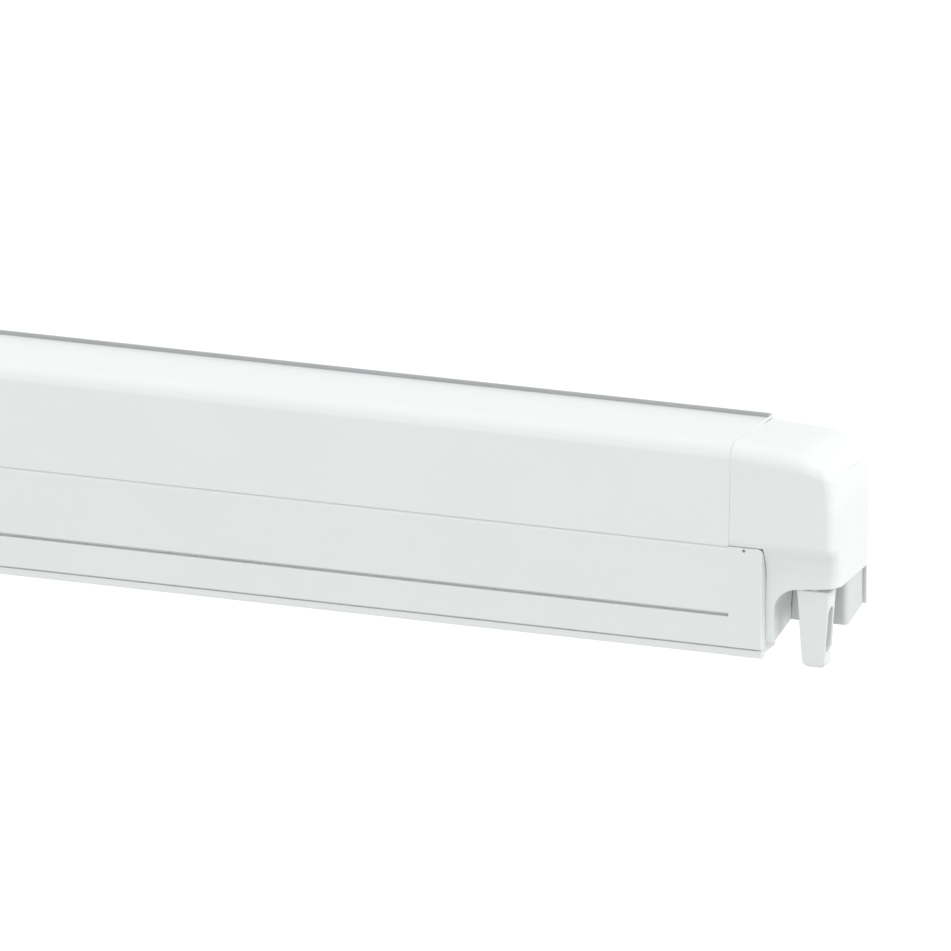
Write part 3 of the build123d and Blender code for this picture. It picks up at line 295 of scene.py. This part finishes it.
def long_bar(name, section, start, end, rounds=(), closed=True, wall=0.0):
    """A profile pulled along the case. Rounds are (depth, height, offset, segments) of its long edges."""
    points = [at(start, *p) for p in section]
    obj = primitive(name, bpy.ops.mesh.primitive_plane_add, size=MM, location=points[0])
    with edited(obj):
        draw_chain(obj, points, closed)
        bpy.ops.mesh.extrude_region_move(TRANSFORM_OT_translate={"value": (end - start, 0, 0)})
        for depth, height, offset, segments in rounds:
            pick(obj, "EDGE", near(at(0, depth, height)))
            bpy.ops.mesh.bevel(offset=offset * MM, segments=segments, profile=0.5)
        bpy.ops.mesh.select_all(action="SELECT")
        bpy.ops.mesh.normals_make_consistent(inside=False)
    if wall:
        apply_modifier(obj, "SOLIDIFY", thickness=abs(wall), offset=math.copysign(1, wall))
    return even(obj)


def apply_modifier(obj, kind, **values):
    """Adds one modifier with these values and applies it."""
    modifier = obj.modifiers.new(kind.title(), kind)
    for key, value in values.items():
        setattr(modifier, key, value)
    alone(obj)
    bpy.ops.object.modifier_apply(modifier=modifier.name)
    return obj


def round_edges(obj, width, segments):
    """Rounds every sharp edge, width in mm."""
    return apply_modifier(
        obj, "BEVEL", width=width * MM, segments=segments, limit_method="ANGLE",
        angle_limit=math.radians(SHARP_ANGLE), use_clamp_overlap=False, harden_normals=False,
    )


def smooth(obj, angle=32):
    """Smooth shading across edges below this angle."""
    alone(obj)
    bpy.ops.object.shade_smooth_by_angle(angle=math.radians(angle))
    return obj


def even(obj):
    """Smooth shading in which the large flat faces stay flat."""
    alone(obj)
    bpy.ops.mesh.customdata_custom_splitnormals_clear()
    return apply_modifier(smooth(obj), "WEIGHTED_NORMAL", keep_sharp=True, weight=100)


def bisect_all(place, normal):
    """Cuts all faces of the mesh in edit mode along a plane."""
    bpy.ops.mesh.select_all(action="SELECT")
    bpy.ops.mesh.bisect(plane_co=place, plane_no=normal)


def divide(obj):
    """Cuts a case cap's faces across, so that they can bend."""
    low = min(vertex.co.x for vertex in obj.data.vertices)
    high = max(vertex.co.x for vertex in obj.data.vertices)
    outer = max(abs(low), abs(high))
    side = math.copysign(1, low + high)
    with edited(obj):
        for height in CAP_CUT_HEIGHTS:
            bisect_all(at(0, 0, height), (0, 0, 1))
        for inset in CAP_CUT_INSETS:
            bisect_all((side * (outer - inset * MM), 0, 0), (1, 0, 0))
    return obj


def cut(obj, cutter):
    """Takes the cutter's shape out of the object and removes the cutter."""
    apply_modifier(obj, "BOOLEAN", operation="DIFFERENCE", object=cutter, solver="EXACT")
    bpy.data.objects.remove(cutter)
    return obj


def reshape(obj, counts, shift):
    """Moves a mesh with a fine lattice. Shift gives the move of a place, both in metres."""
    axes = list(zip(*(vertex.co for vertex in obj.data.vertices)))
    low = Vector([min(axis) - MM for axis in axes])
    high = Vector([max(axis) + MM for axis in axes])
    middle = (low + high) / 2
    data = bpy.data.lattices.new("shaper")
    data.points_u, data.points_v, data.points_w = counts
    for key in ("u", "v", "w"):
        setattr(data, f"interpolation_type_{key}", "KEY_LINEAR")
    cage = bpy.data.objects.new("shaper", data)
    bpy.context.scene.collection.objects.link(cage)
    step = Vector([(high[n] - low[n]) / (counts[n] - 1) for n in range(3)])
    cage.scale = step
    cage.location = middle
    for point in data.points:
        place = Vector([point.co[n] * step[n] + middle[n] for n in range(3)])
        move = shift(place)
        point.co_deform = [point.co[n] + move[n] / step[n] for n in range(3)]
    bpy.context.view_layer.update()
    apply_modifier(obj, "LATTICE", object=cage)
    bpy.data.objects.remove(cage)
    return obj


def rounded_copy(name, node, width, segments=3, shift=None, round_corner=None):
    """A merged copy of a node with its sharp edges rounded, width in mm. It stands for the node."""
    alone(frame["nodes"][node])
    bpy.ops.object.duplicate()
    obj = bpy.context.object
    obj.name = name
    body = obj["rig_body"]
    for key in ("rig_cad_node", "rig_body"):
        del obj[key]
    bpy.ops.object.parent_clear(type="CLEAR_KEEP_TRANSFORM")
    with edited(obj):
        bpy.ops.mesh.select_mode(type="VERT")
        bpy.ops.mesh.select_all(action="SELECT")
        bpy.ops.mesh.remove_doubles(threshold=MM / 50)
        bpy.ops.mesh.dissolve_limited(angle_limit=math.radians(0.6))
    if round_corner:
        round_corner(obj)
    if shift:
        divide(obj)
        reshape(obj, CAGE_COUNTS, shift)
    even(round_edges(obj, width, segments))
    return finish_piece(obj, finishes[slot_of[node]], body, slot_of[node], node)


def finish_piece(obj, material, body, slot, *nodes):
    """Gives a piece its material and its body, and hides the nodes that it stands for. The slot is not
    used.
    """
    obj.data.materials.clear()
    obj.data.materials.append(material)
    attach(obj, body)
    if nodes:
        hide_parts(*nodes)
    return obj


# The case caps' form
def ramp(value, start, end):
    """A soft step from 0 at start to 1 at end."""
    part = min(1, max(0, (value - start) / (end - start)))
    return part * part * (3 - 2 * part)


def crown_move(along, depth, height):
    """The move in depth and height that turns the cap's wide crown into a tighter and higher one."""
    top = CAP_TOP - along * CAP_FALL
    centre_depth = CAP_FRONT + CAP_RADIUS
    centre_height = top - CAP_RADIUS
    front_run = CROWN_RISE + CAP_RADIUS - CROWN_RADIUS
    turn_run = CROWN_RADIUS * math.pi / 2
    top_run = CAP_RADIUS - CROWN_RADIUS
    slope = CROWN_RISE / (CAP_REAR - CAP_FRONT - CROWN_RADIUS)
    if height <= centre_height:
        return 0, 0
    if depth >= centre_depth:
        share = min(1, (height - centre_height) / CROWN_BLEND)
        return 0, share * slope * max(0, CAP_REAR - depth)
    reach = math.hypot(centre_depth - depth, height - centre_height)
    angle = math.atan2(height - centre_height, centre_depth - depth)
    run = angle / (math.pi / 2) * (front_run + turn_run + top_run)
    out = reach - CAP_RADIUS
    if run < front_run:
        new = (CAP_FRONT - out, centre_height + run)
    elif run < front_run + turn_run:
        turn = (run - front_run) / CROWN_RADIUS
        new = (
            CAP_FRONT + CROWN_RADIUS - (CROWN_RADIUS + out) * math.cos(turn),
            top + CROWN_RISE - CROWN_RADIUS + (CROWN_RADIUS + out) * math.sin(turn),
        )
    else:
        rest = run - front_run - turn_run
        new = (CAP_FRONT + CROWN_RADIUS + rest, top + CROWN_RISE - slope * rest + out)
    share = min(1, reach / CROWN_BLEND)
    return share * (new[0] - depth), share * (new[1] - height)


def cap_shift(arched):
    """The move of a place on a case cap: crown, leaning end, soft upper corner and the arch's left side."""

    def shift(place):
        side = math.copysign(1, place.x)
        along = (abs(place.x) - HALF_CASE) / MM
        depth = (place.y - FRONT_Y) / MM
        height = (place.z - LIP_Z) / MM
        in_depth, in_height = crown_move(along, depth, height)
        lean = -END_LEAN * max(0, (height - LEAN_FROM) / LEAN_RUN) ** 1.5 * ramp(along, *LEAN_PLACES)
        drop = CORNER_DROP * (max(0, min(along, CORNER_END) - CORNER_FROM) / CORNER_RUN) ** 2
        corner = -drop * ramp(height, *CORNER_HEIGHTS) * (0.5 + 0.5 * ramp(depth, *CORNER_DEPTHS))
        seam = -SEAM_DROP * (1 - ramp(along, *SEAM_PLACES)) * (1 - ramp(height, *SEAM_HIGH))
        seam *= ramp(height, *SEAM_LOW)
        arch = 0
        if arched:
            arch = -ARCH_WIDENING * ramp(along, *ARCH_LEFT) * (1 - ramp(along, *ARCH_RIGHT))
            arch *= 1 - ramp(height, *ARCH_HEIGHTS)
        return Vector((side * (lean + arch), in_depth, in_height + corner + seam)) * MM

    return shift


# Materials
def new_material(name):
    """A material with its node tree and its shader."""
    material = bpy.data.materials.new(name)
    material.use_nodes = True
    return material, material.node_tree, material.node_tree.nodes["Principled BSDF"]


def link(tree, source, output, target, entry):
    """Joins a node's output to another node's input."""
    tree.links.new(source.outputs[output], target.inputs[entry])


def scaled_coordinates(tree, source, scale):
    """Object coordinates or the UV map, stretched by a Mapping node."""
    coordinates = tree.nodes.new("ShaderNodeTexCoord")
    mapping = tree.nodes.new("ShaderNodeMapping")
    mapping.inputs["Scale"].default_value = scale
    link(tree, coordinates, source, mapping, "Vector")
    return mapping


def noise(tree, mapping, scale, detail):
    """A cloudy pattern, its scale in turns per metre."""
    texture = tree.nodes.new("ShaderNodeTexNoise")
    texture.inputs["Scale"].default_value = scale
    texture.inputs["Detail"].default_value = detail
    texture.inputs["Roughness"].default_value = 0.55
    link(tree, mapping, "Vector", texture, "Vector")
    return texture


def spread(tree, texture, low, high):
    """A texture's middle range mapped to low and high."""
    level = tree.nodes.new("ShaderNodeMapRange")
    level.inputs["From Min"].default_value = 0.3
    level.inputs["From Max"].default_value = 0.7
    level.inputs["To Min"].default_value = low
    level.inputs["To Max"].default_value = high
    link(tree, texture, "Fac", level, "Value")
    return level


def tinted(tree, bsdf, texture, shade, color):
    """The colour, darker by the shade's share where the texture is low."""
    mix = tree.nodes.new("ShaderNodeMix")
    mix.data_type = "RGBA"
    mix.inputs["A"].default_value = (*(channel * (1 - shade) for channel in color), 1)
    mix.inputs["B"].default_value = (*color, 1)
    link(tree, spread(tree, texture, 0, 1), "Result", mix, "Factor")
    tree.links.new(mix.outputs["Result"], bsdf.inputs["Base Color"])


def bumped(tree, bsdf, texture, output, distance):
    """Relief of this depth in metres from a texture's output."""
    bump = tree.nodes.new("ShaderNodeBump")
    bump.inputs["Distance"].default_value = distance
    bump.inputs["Strength"].default_value = 1.0
    link(tree, texture, output, bump, "Height")
    link(tree, bump, "Normal", bsdf, "Normal")


def surface(name, color, shade, rough, grain, depth, metal=0.0, stretch=(1, 1, 1), coat=0.0):
    """A finish with fine relief, its depth in metres, and a tone that gets darker by the shade's share."""
    material, tree, bsdf = new_material(name)
    mapping = scaled_coordinates(tree, "Object", stretch)
    tone = noise(tree, mapping, 14, 4)
    relief = noise(tree, mapping, grain, 2)
    tinted(tree, bsdf, tone, shade, color)
    link(tree, spread(tree, relief, rough * 0.92, rough * 1.08), "Result", bsdf, "Roughness")
    bumped(tree, bsdf, relief, "Fac", depth)
    bsdf.inputs["Metallic"].default_value = metal
    bsdf.inputs["Coat Weight"].default_value = coat
    bsdf.inputs["Coat Roughness"].default_value = 0.25
    bsdf.inputs["Specular IOR Level"].default_value = 0.5
    return material


def woven(name, color):
    """Coated cloth: two crossed thread waves in the relief, with a melange of tones."""
    material, tree, bsdf = new_material(name)
    mapping = scaled_coordinates(tree, "UV", (1, 1, 1))
    join = tree.nodes.new("ShaderNodeMath")
    join.operation = "MAXIMUM"
    for n, direction in enumerate(("X", "Y")):
        wave = tree.nodes.new("ShaderNodeTexWave")
        wave.bands_direction = direction
        wave.inputs["Scale"].default_value = 260
        wave.inputs["Distortion"].default_value = 0.4
        link(tree, mapping, "Vector", wave, "Vector")
        link(tree, wave, "Fac", join, n)
    tinted(tree, bsdf, noise(tree, mapping, 60, 5), 0.07, color)
    bumped(tree, bsdf, join, "Value", 0.00008)
    bsdf.inputs["Roughness"].default_value = 0.55
    bsdf.inputs["Specular IOR Level"].default_value = 0.35
    return material


def seen_directly(tree):
    """One where the camera sees the surface, straight or in a reflection or through glass."""
    path = tree.nodes.new("ShaderNodeLightPath")
    first = tree.nodes.new("ShaderNodeMath")
    first.operation = "MAXIMUM"
    link(tree, path, "Is Camera Ray", first, 0)
    link(tree, path, "Is Glossy Ray", first, 1)
    second = tree.nodes.new("ShaderNodeMath")
    second.operation = "MAXIMUM"
    link(tree, first, 0, second, 0)
    link(tree, path, "Is Transmission Ray", second, 1)
    return second


# Sizes and colours that a user would change
class AwningColors(bpy.types.PropertyGroup):
    """Colours of the painted, woven and rubber parts"""

    coat: bpy.props.FloatVectorProperty(
        name="Case", description="Colour of the painted profiles and the caps", size=3, subtype="COLOR",
        default=(0.79, 0.822, 0.812), min=0, max=1,
    )
    cloth: bpy.props.FloatVectorProperty(
        name="Cloth", description="Colour of the coated cloth", size=3, subtype="COLOR",
        default=(0.36, 0.38, 0.40), min=0, max=1,
    )
    rubber: bpy.props.FloatVectorProperty(
        name="Seals", description="Colour of the rubber seals", size=3, subtype="COLOR",
        default=(0.42, 0.43, 0.44), min=0, max=1,
    )


class AwningSizes(bpy.types.PropertyGroup):
    """Sizes of the hood and the cloth"""

    hood_radius: bpy.props.FloatProperty(
        name="Hood radius", description="Rounding of the hood's upper front edge",
        default=CROWN_RADIUS * MM, min=0.005, max=0.03, subtype="DISTANCE", unit="LENGTH",
    )
    cloth_rows: bpy.props.IntProperty(
        name="Cloth rows", description="Divisions of the cloth between the lead bar and the roll",
        default=48, min=8, max=200,
    )


class AWNING_OT_finishes(bpy.types.Operator):
    """Make the finishes and put them on the frame's nodes"""

    bl_idname = "awning.finishes"
    bl_label = "Finishes"

    def execute(self, context):
        colors = context.scene.awning_colors
        coat = tuple(colors.coat)
        finishes["white_paint"] = surface("powder_coat", coat, 0.012, 0.36, 1500, 0.00001, coat=0.15)
        finishes["white_plastic"] = surface("moulded_white", coat, 0.012, 0.42, 1900, 0.000016)
        finishes["grey_rubber"] = surface("seal_rubber", tuple(colors.rubber), 0.08, 0.7, 1200, 0.00003)
        finishes["bracket_paint"] = surface(
            "bracket_anodised", (0.72, 0.73, 0.74), 0.05, 0.36, 900, 0.00001, 1.0, (0.05, 1, 1)
        )
        finishes["cast_aluminium"] = surface(
            "cast_aluminium", (0.62, 0.63, 0.65), 0.1, 0.5, 700, 0.00005, 1.0
        )
        finishes["arm_finish"] = surface(
            "anodised_tube", (0.78, 0.79, 0.8), 0.05, 0.3, 1400, 0.00001, 1.0, (0.03, 1, 1)
        )
        finishes["steel"] = surface("zinc_plated", (0.6, 0.6, 0.61), 0.12, 0.32, 800, 0.00001, 1.0)
        # Darker grey plastic. On the winch block it is painted shade: it is darker than the white caps to
        # stand in for the shade under the case cap.
        finishes["grey_plastic"] = surface("moulded_grey_and_painted_shade", (0.64, 0.67, 0.66), 0.03, 0.45, 1500, 0.00002)
        finishes["pale_plastic"] = surface("moulded_pale", (0.79, 0.82, 0.81), 0.02, 0.42, 1700, 0.00002)
        finishes["black_plastic"] = surface("moulded_black", (0.03, 0.03, 0.034), 0.2, 0.5, 1500, 0.00002)
        finishes["gear_bronze"] = surface("gear_bronze", (0.66, 0.5, 0.26), 0.15, 0.35, 900, 0.00001, 1.0)
        finishes["awning_cloth"] = woven("coated_cloth", tuple(colors.cloth))
        for name, node in frame["nodes"].items():
            node.data.materials.clear()
            node.data.materials.append(finishes[slot_of[name]])
        return {"FINISHED"}


class AWNING_OT_case(bpy.types.Operator):
    """Pull the case's smooth hood along its length"""

    bl_idname = "awning.case"
    bl_label = "Case hood"

    def execute(self, context):
        radius = context.scene.awning_sizes.hood_radius
        front_turn = math.atan2(HOOD_CREST[1] - HOOD_FOOT[1], HOOD_CREST[0] - HOOD_FOOT[0])
        rear_turn = math.atan2(HOOD_CREST[1] - HOOD_WALL[1], HOOD_WALL[0] - HOOD_CREST[0])
        tangent = radius / math.tan((math.pi - front_turn - rear_turn) / 2) / MM
        hood = long_bar(
            "hood_shell",
            [HOOD_FOOT, HOOD_CREST, HOOD_WALL],
            -HALF_CASE,
            HALF_CASE,
            [(*HOOD_CREST, tangent, 20)],
            closed=False,
            wall=-HOOD_SHEET * MM,
        )
        finish_piece(hood, finishes["white_paint"], "case", "white_paint", "case_hood")
        return {"FINISHED"}


class AWNING_OT_lead_bar(bpy.types.Operator):
    """Pull the lead bar's profile along the case and shape its two caps"""

    bl_idname = "awning.lead_bar"
    bl_label = "Lead bar"

    def execute(self, context):
        bar = long_bar("lead_bar_shell", BAR_SECTION, -HALF_CASE, HALF_CASE, BAR_ROUNDS)
        finish_piece(bar, finishes["white_paint"], "lead_bar", "white_paint", "lead_bar_profile")
        for name, side in (("right", 1), ("left", -1)):
            self.cap(name, side)
        return {"FINISHED"}

    def cap(self, name, side):
        """A moulded cap on the bar's section, with a soft upper corner and a drain hole."""
        end = HALF_CASE + BAR_CAP_LENGTH * MM
        cap = long_bar(f"bar_cap_{name}", BAR_CAP_SECTION, side * HALF_CASE, side * end)
        corner = at(side * end, BAR_HEAD[1][0] / 2, BAR_HEAD[0][1])
        with edited(cap):
            pick(cap, "EDGE", lambda edge, middle: (middle - corner).length < MM)
            bpy.ops.mesh.bevel(offset=BAR_CAP_CORNER * MM, segments=8)
            pick(cap, "EDGE", lambda edge, middle: (
                all(abs(abs(v.co.x) - end) < (BAR_CAP_CORNER + 0.1) * MM for v in edge.verts)
                and edge.calc_face_angle(0) > 1 and middle.y < at(0, 12, 0).y
            ))
            bpy.ops.mesh.bevel(offset=BAR_CAP_EDGE * MM, segments=3)
            for place in BAR_CAP_STRIPS:
                bisect_all((side * (HALF_CASE + place * MM), 0, 0), (1, 0, 0))
        drill = primitive(
            "drain_drill", bpy.ops.mesh.primitive_cylinder_add, vertices=24, radius=DRAIN_RADIUS * MM,
            depth=DRAIN_DRILL * MM, location=at(side * (HALF_CASE + DRAIN_PLACE * MM), 0, DRAIN_HEIGHT),
            rotation=(math.pi / 2, 0, 0),
        )
        even(cut(cap, drill))
        node = f"lead_bar_cap_{name}"
        finish_piece(cap, finishes["white_plastic"], "lead_bar", "white_plastic", node)


class AWNING_OT_caps(bpy.types.Operator):
    """Shape and round the moulded caps of the case"""

    bl_idname = "awning.caps"
    bl_label = "End caps"

    def execute(self, context):
        for side in ("right", "left"):
            rounded_copy(f"case_cap_{side}", f"end_cap_{side}", CAP_EDGE, shift=cap_shift(side == "right"))
        return {"FINISHED"}


class AWNING_OT_winch(bpy.types.Operator):
    """Round the winch block and shape the crank eye"""

    bl_idname = "awning.winch"
    bl_label = "Winch"

    def execute(self, context):
        # The winch block gets the darker grey finish, which is painted shade for the shade under the case
        # cap.
        rounded_copy("winch_block", "winch_housing", BLOCK_EDGE, round_corner=self.block_corner)
        eye = primitive(
            "crank_loop", bpy.ops.mesh.primitive_cube_add, size=1,
            location=at(EYE_X, EYE_DEPTH, EYE_BOTTOM + EYE_SIZE[2] / 2), scale=Vector(EYE_SIZE) * MM,
        )
        tip = at(EYE_X, EYE_DEPTH, EYE_BOTTOM)
        with edited(eye):
            pick(eye, "FACE", lambda face, middle: face.normal.z < -0.9)
            bpy.ops.transform.resize(value=EYE_TAPER_SHARES, center_override=tip)
            pick(eye, "EDGE", lambda edge, middle: middle.z < tip.z + MM / 10)
            bpy.ops.mesh.bevel(offset=EYE_TIP_ROUND * MM, segments=6)
        slot = primitive(
            "slot_cutter", bpy.ops.mesh.primitive_cube_add, size=1,
            location=at(EYE_X, EYE_DEPTH, SLOT_HEIGHT), scale=Vector(SLOT_SIZE) * MM,
        )
        with edited(slot):
            pick(slot, "EDGE", lambda edge, middle: abs(middle.x - EYE_X) < MM)
            bpy.ops.mesh.bevel(offset=SLOT_ROUND * MM, segments=8)
        cut(eye, slot)
        apply_modifier(
            eye, "BEVEL", width=EYE_EDGE * MM, segments=4, limit_method="ANGLE",
            angle_limit=math.radians(SHARP_ANGLE),
        )
        finish_piece(even(eye), finishes["pale_plastic"], "worm", "grey_plastic", "crank_eye")
        return {"FINISHED"}

    def block_corner(self, block):
        """Rounds the block's upright front corner."""
        along, depth = BLOCK_CORNER
        corner = at(HALF_CASE + along * MM, depth, 0)
        with edited(block):
            pick(block, "EDGE", lambda edge, middle: (
                (middle.xy - corner.xy).length < MM / 5
                and abs(edge.verts[0].co.z - edge.verts[1].co.z) > MM
            ))
            bpy.ops.mesh.bevel(offset=BLOCK_ROUND * MM, segments=6)


class AWNING_OT_castings(bpy.types.Operator):
    """Round the edges of the castings, the feet and the wall plates"""

    bl_idname = "awning.castings"
    bl_label = "Arm castings"

    def execute(self, context):
        castings = (
            "shoulder_bracket", "wrist_bracket", "shoulder_knuckle", "wrist_tongue", "elbow_fork",
            "elbow_tongue",
        )
        for side in ("right", "left"):
            for part in castings:
                rounded_copy(f"{part}_{side}_cast", f"{part}_{side}", CASTING_EDGE)
            rounded_copy(f"leg_foot_{side}_moulded", f"leg_foot_{side}", FOOT_EDGE)
        for place in ("left", "centre", "right"):
            rounded_copy(f"wall_plate_{place}", f"wall_bracket_{place}", PLATE_EDGE, 2)
        return {"FINISHED"}


class AWNING_OT_cloth(bpy.types.Operator):
    """Make the cloth: the free run, the wound roll and the cord in the lead bar"""

    bl_idname = "awning.cloth"
    bl_label = "Cloth"

    def execute(self, context):
        self.free_run(context.scene.awning_sizes.cloth_rows)
        self.wound_roll()
        self.front_cord()
        return {"FINISHED"}

    def free_run(self, rows):
        """The flat cloth between the lead bar and the roll."""
        low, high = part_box("fabric_run")
        middle = (low + high) / 2
        half_run = (high.y - low.y) / 2
        half_fall = half_run * math.tan(TILT)
        width = 2 * CLOTH_HALF_WIDTH
        length = 2 * math.hypot(half_run, half_fall)
        sheet = primitive(
            "cloth_run", bpy.ops.mesh.primitive_grid_add, x_subdivisions=24, y_subdivisions=rows,
            size=1, location=(0, 0, 0),
        )
        alone(sheet)
        sheet.scale = (width, length, 1)
        sheet.rotation_euler = (TILT, 0, 0)
        sheet.location = middle
        bpy.ops.object.transform_apply(location=True, rotation=True, scale=True)
        for corner in sheet.data.uv_layers.active.data:
            corner.uv = (corner.uv[0] * width, corner.uv[1] * CLOTH_LENGTH)
        smooth(sheet)
        sheet.data.materials.append(finishes["awning_cloth"])
        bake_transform(sheet)
        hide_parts("fabric_run")

    def wound_roll(self):
        """The roll of cloth, its ends set back by the bare tube's edge."""
        roll = primitive(
            "cloth_roll", bpy.ops.mesh.primitive_cylinder_add, vertices=128, radius=ROLL_RADIUS * MM,
            depth=2 * (CLOTH_HALF_WIDTH + ROLL_MARGIN * MM), location=at(0, *ROLLER),
            rotation=(0, math.pi / 2, 0),
        )
        with edited(roll):
            pick(roll, "FACE", lambda face, middle: abs(face.normal.x) > 0.9)
            bpy.ops.mesh.inset(thickness=ROLL_WOUND * MM)
            bpy.ops.mesh.bevel(offset=ROLL_EDGE * MM, segments=2)
        smooth(roll)
        finish_piece(roll, finishes["awning_cloth"], "roller", "awning_cloth", "fabric_roll")

    def front_cord(self):
        """The cord that holds the cloth's front edge in the lead bar's slot."""
        low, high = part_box("fabric_keder")
        cord = primitive(
            "cloth_cord", bpy.ops.mesh.primitive_cylinder_add, vertices=32, radius=CORD_RADIUS * MM,
            depth=2 * CLOTH_HALF_WIDTH, location=(0, FRONT_Y + CORD_DEPTH * MM, (low.z + high.z) / 2),
            rotation=(0, math.pi / 2, 0),
        )
        smooth(cord)
        finish_piece(cord, finishes["awning_cloth"], "lead_bar", "awning_cloth", "fabric_keder")


class AWNING_OT_stage(bpy.types.Operator):
    """Set the floor, the light and the camera"""

    bl_idname = "awning.stage"
    bl_label = "Stage"

    def execute(self, context):
        self.floor()
        self.world(context.scene)
        for name, direction, strength, softness in LAMPS:
            lamp = bpy.data.lights.new(name, "SUN")
            lamp.energy = strength
            lamp.angle = math.radians(softness)
            self.aimed(name, lamp, Vector(direction).to_track_quat("Z", "Y"))
        side = Vector((math.sin(VIEW_SIDE), -math.cos(VIEW_SIDE), 0)) * math.cos(VIEW_RISE)
        back = side + Vector((0, 0, math.sin(VIEW_RISE)))
        lens = bpy.data.cameras.new("camera")
        lens.lens = VIEW_LENS
        lens.clip_end = VIEW_END
        camera = self.aimed("camera", lens, (-back).to_track_quat("-Z", "Y"))
        camera.location = at(VIEW_X, 0, VIEW_HEIGHT) + back * VIEW_DISTANCE
        context.scene.camera = camera
        context.scene.view_settings.view_transform = "Standard"
        return {"FINISHED"}

    def floor(self):
        """A pale floor under the legs' feet, as white as the world where the camera sees it."""
        floor = primitive("floor", bpy.ops.mesh.primitive_plane_add, size=160, location=(0, 0, FLOOR_Z))
        material, tree, bsdf = new_material("pale_floor")
        mix = tree.nodes.new("ShaderNodeMix")
        mix.data_type = "RGBA"
        mix.inputs["A"].default_value = (FLOOR_SHADE, FLOOR_SHADE, FLOOR_SHADE, 1)
        mix.inputs["B"].default_value = (0.97, 0.97, 0.97, 1)
        link(tree, seen_directly(tree), 0, mix, "Factor")
        tree.links.new(mix.outputs["Result"], bsdf.inputs["Base Color"])
        bsdf.inputs["Roughness"].default_value = 0.9
        bsdf.inputs["Specular IOR Level"].default_value = 0.0
        floor.data.materials.append(material)

    def world(self, scene):
        """A white studio that lights the object more weakly than the camera sees it."""
        world = bpy.data.worlds.new("studio")
        scene.world = world
        world.use_nodes = True
        tree = world.node_tree
        background = tree.nodes["Background"]
        background.inputs["Color"].default_value = (1, 1, 1, 1)
        level = tree.nodes.new("ShaderNodeMapRange")
        level.inputs["To Min"].default_value = WORLD_STRENGTH
        level.inputs["To Max"].default_value = 1.0
        link(tree, seen_directly(tree), 0, level, "Value")
        link(tree, level, "Result", background, "Strength")

    def aimed(self, name, data, turn):
        """A lamp or camera in the scene, turned by a quaternion."""
        holder = bpy.data.objects.new(name, data)
        bpy.context.scene.collection.objects.link(holder)
        holder.rotation_mode = "QUATERNION"
        holder.rotation_quaternion = turn
        return holder


operators = [
    AWNING_OT_finishes, AWNING_OT_case, AWNING_OT_lead_bar, AWNING_OT_caps, AWNING_OT_winch,
    AWNING_OT_castings, AWNING_OT_cloth, AWNING_OT_stage,
]


class AWNING_PT_panel(bpy.types.Panel):
    """The awning's colours, sizes and steps in the sidebar"""

    bl_label = "Roll out awning"
    bl_idname = "AWNING_PT_panel"
    bl_space_type = "VIEW_3D"
    bl_region_type = "UI"
    bl_category = "Awning"

    def draw(self, context):
        layout = self.layout
        for group in (context.scene.awning_colors, context.scene.awning_sizes):
            for name in group.__annotations__:
                layout.prop(group, name)
        for operator in operators:
            layout.operator(operator.bl_idname)


classes = [AwningColors, AwningSizes, *operators, AWNING_PT_panel]


def register():
    for item in classes:
        bpy.utils.register_class(item)
    bpy.types.Scene.awning_colors = bpy.props.PointerProperty(type=AwningColors)
    bpy.types.Scene.awning_sizes = bpy.props.PointerProperty(type=AwningSizes)


def unregister():
    del bpy.types.Scene.awning_colors
    del bpy.types.Scene.awning_sizes
    for item in reversed(classes):
        bpy.utils.unregister_class(item)


def main():
    register()
    for operator in operators:
        group, name = operator.bl_idname.split(".")
        getattr(getattr(bpy.ops, group), name)()


if __name__ == "__main__":
    main()
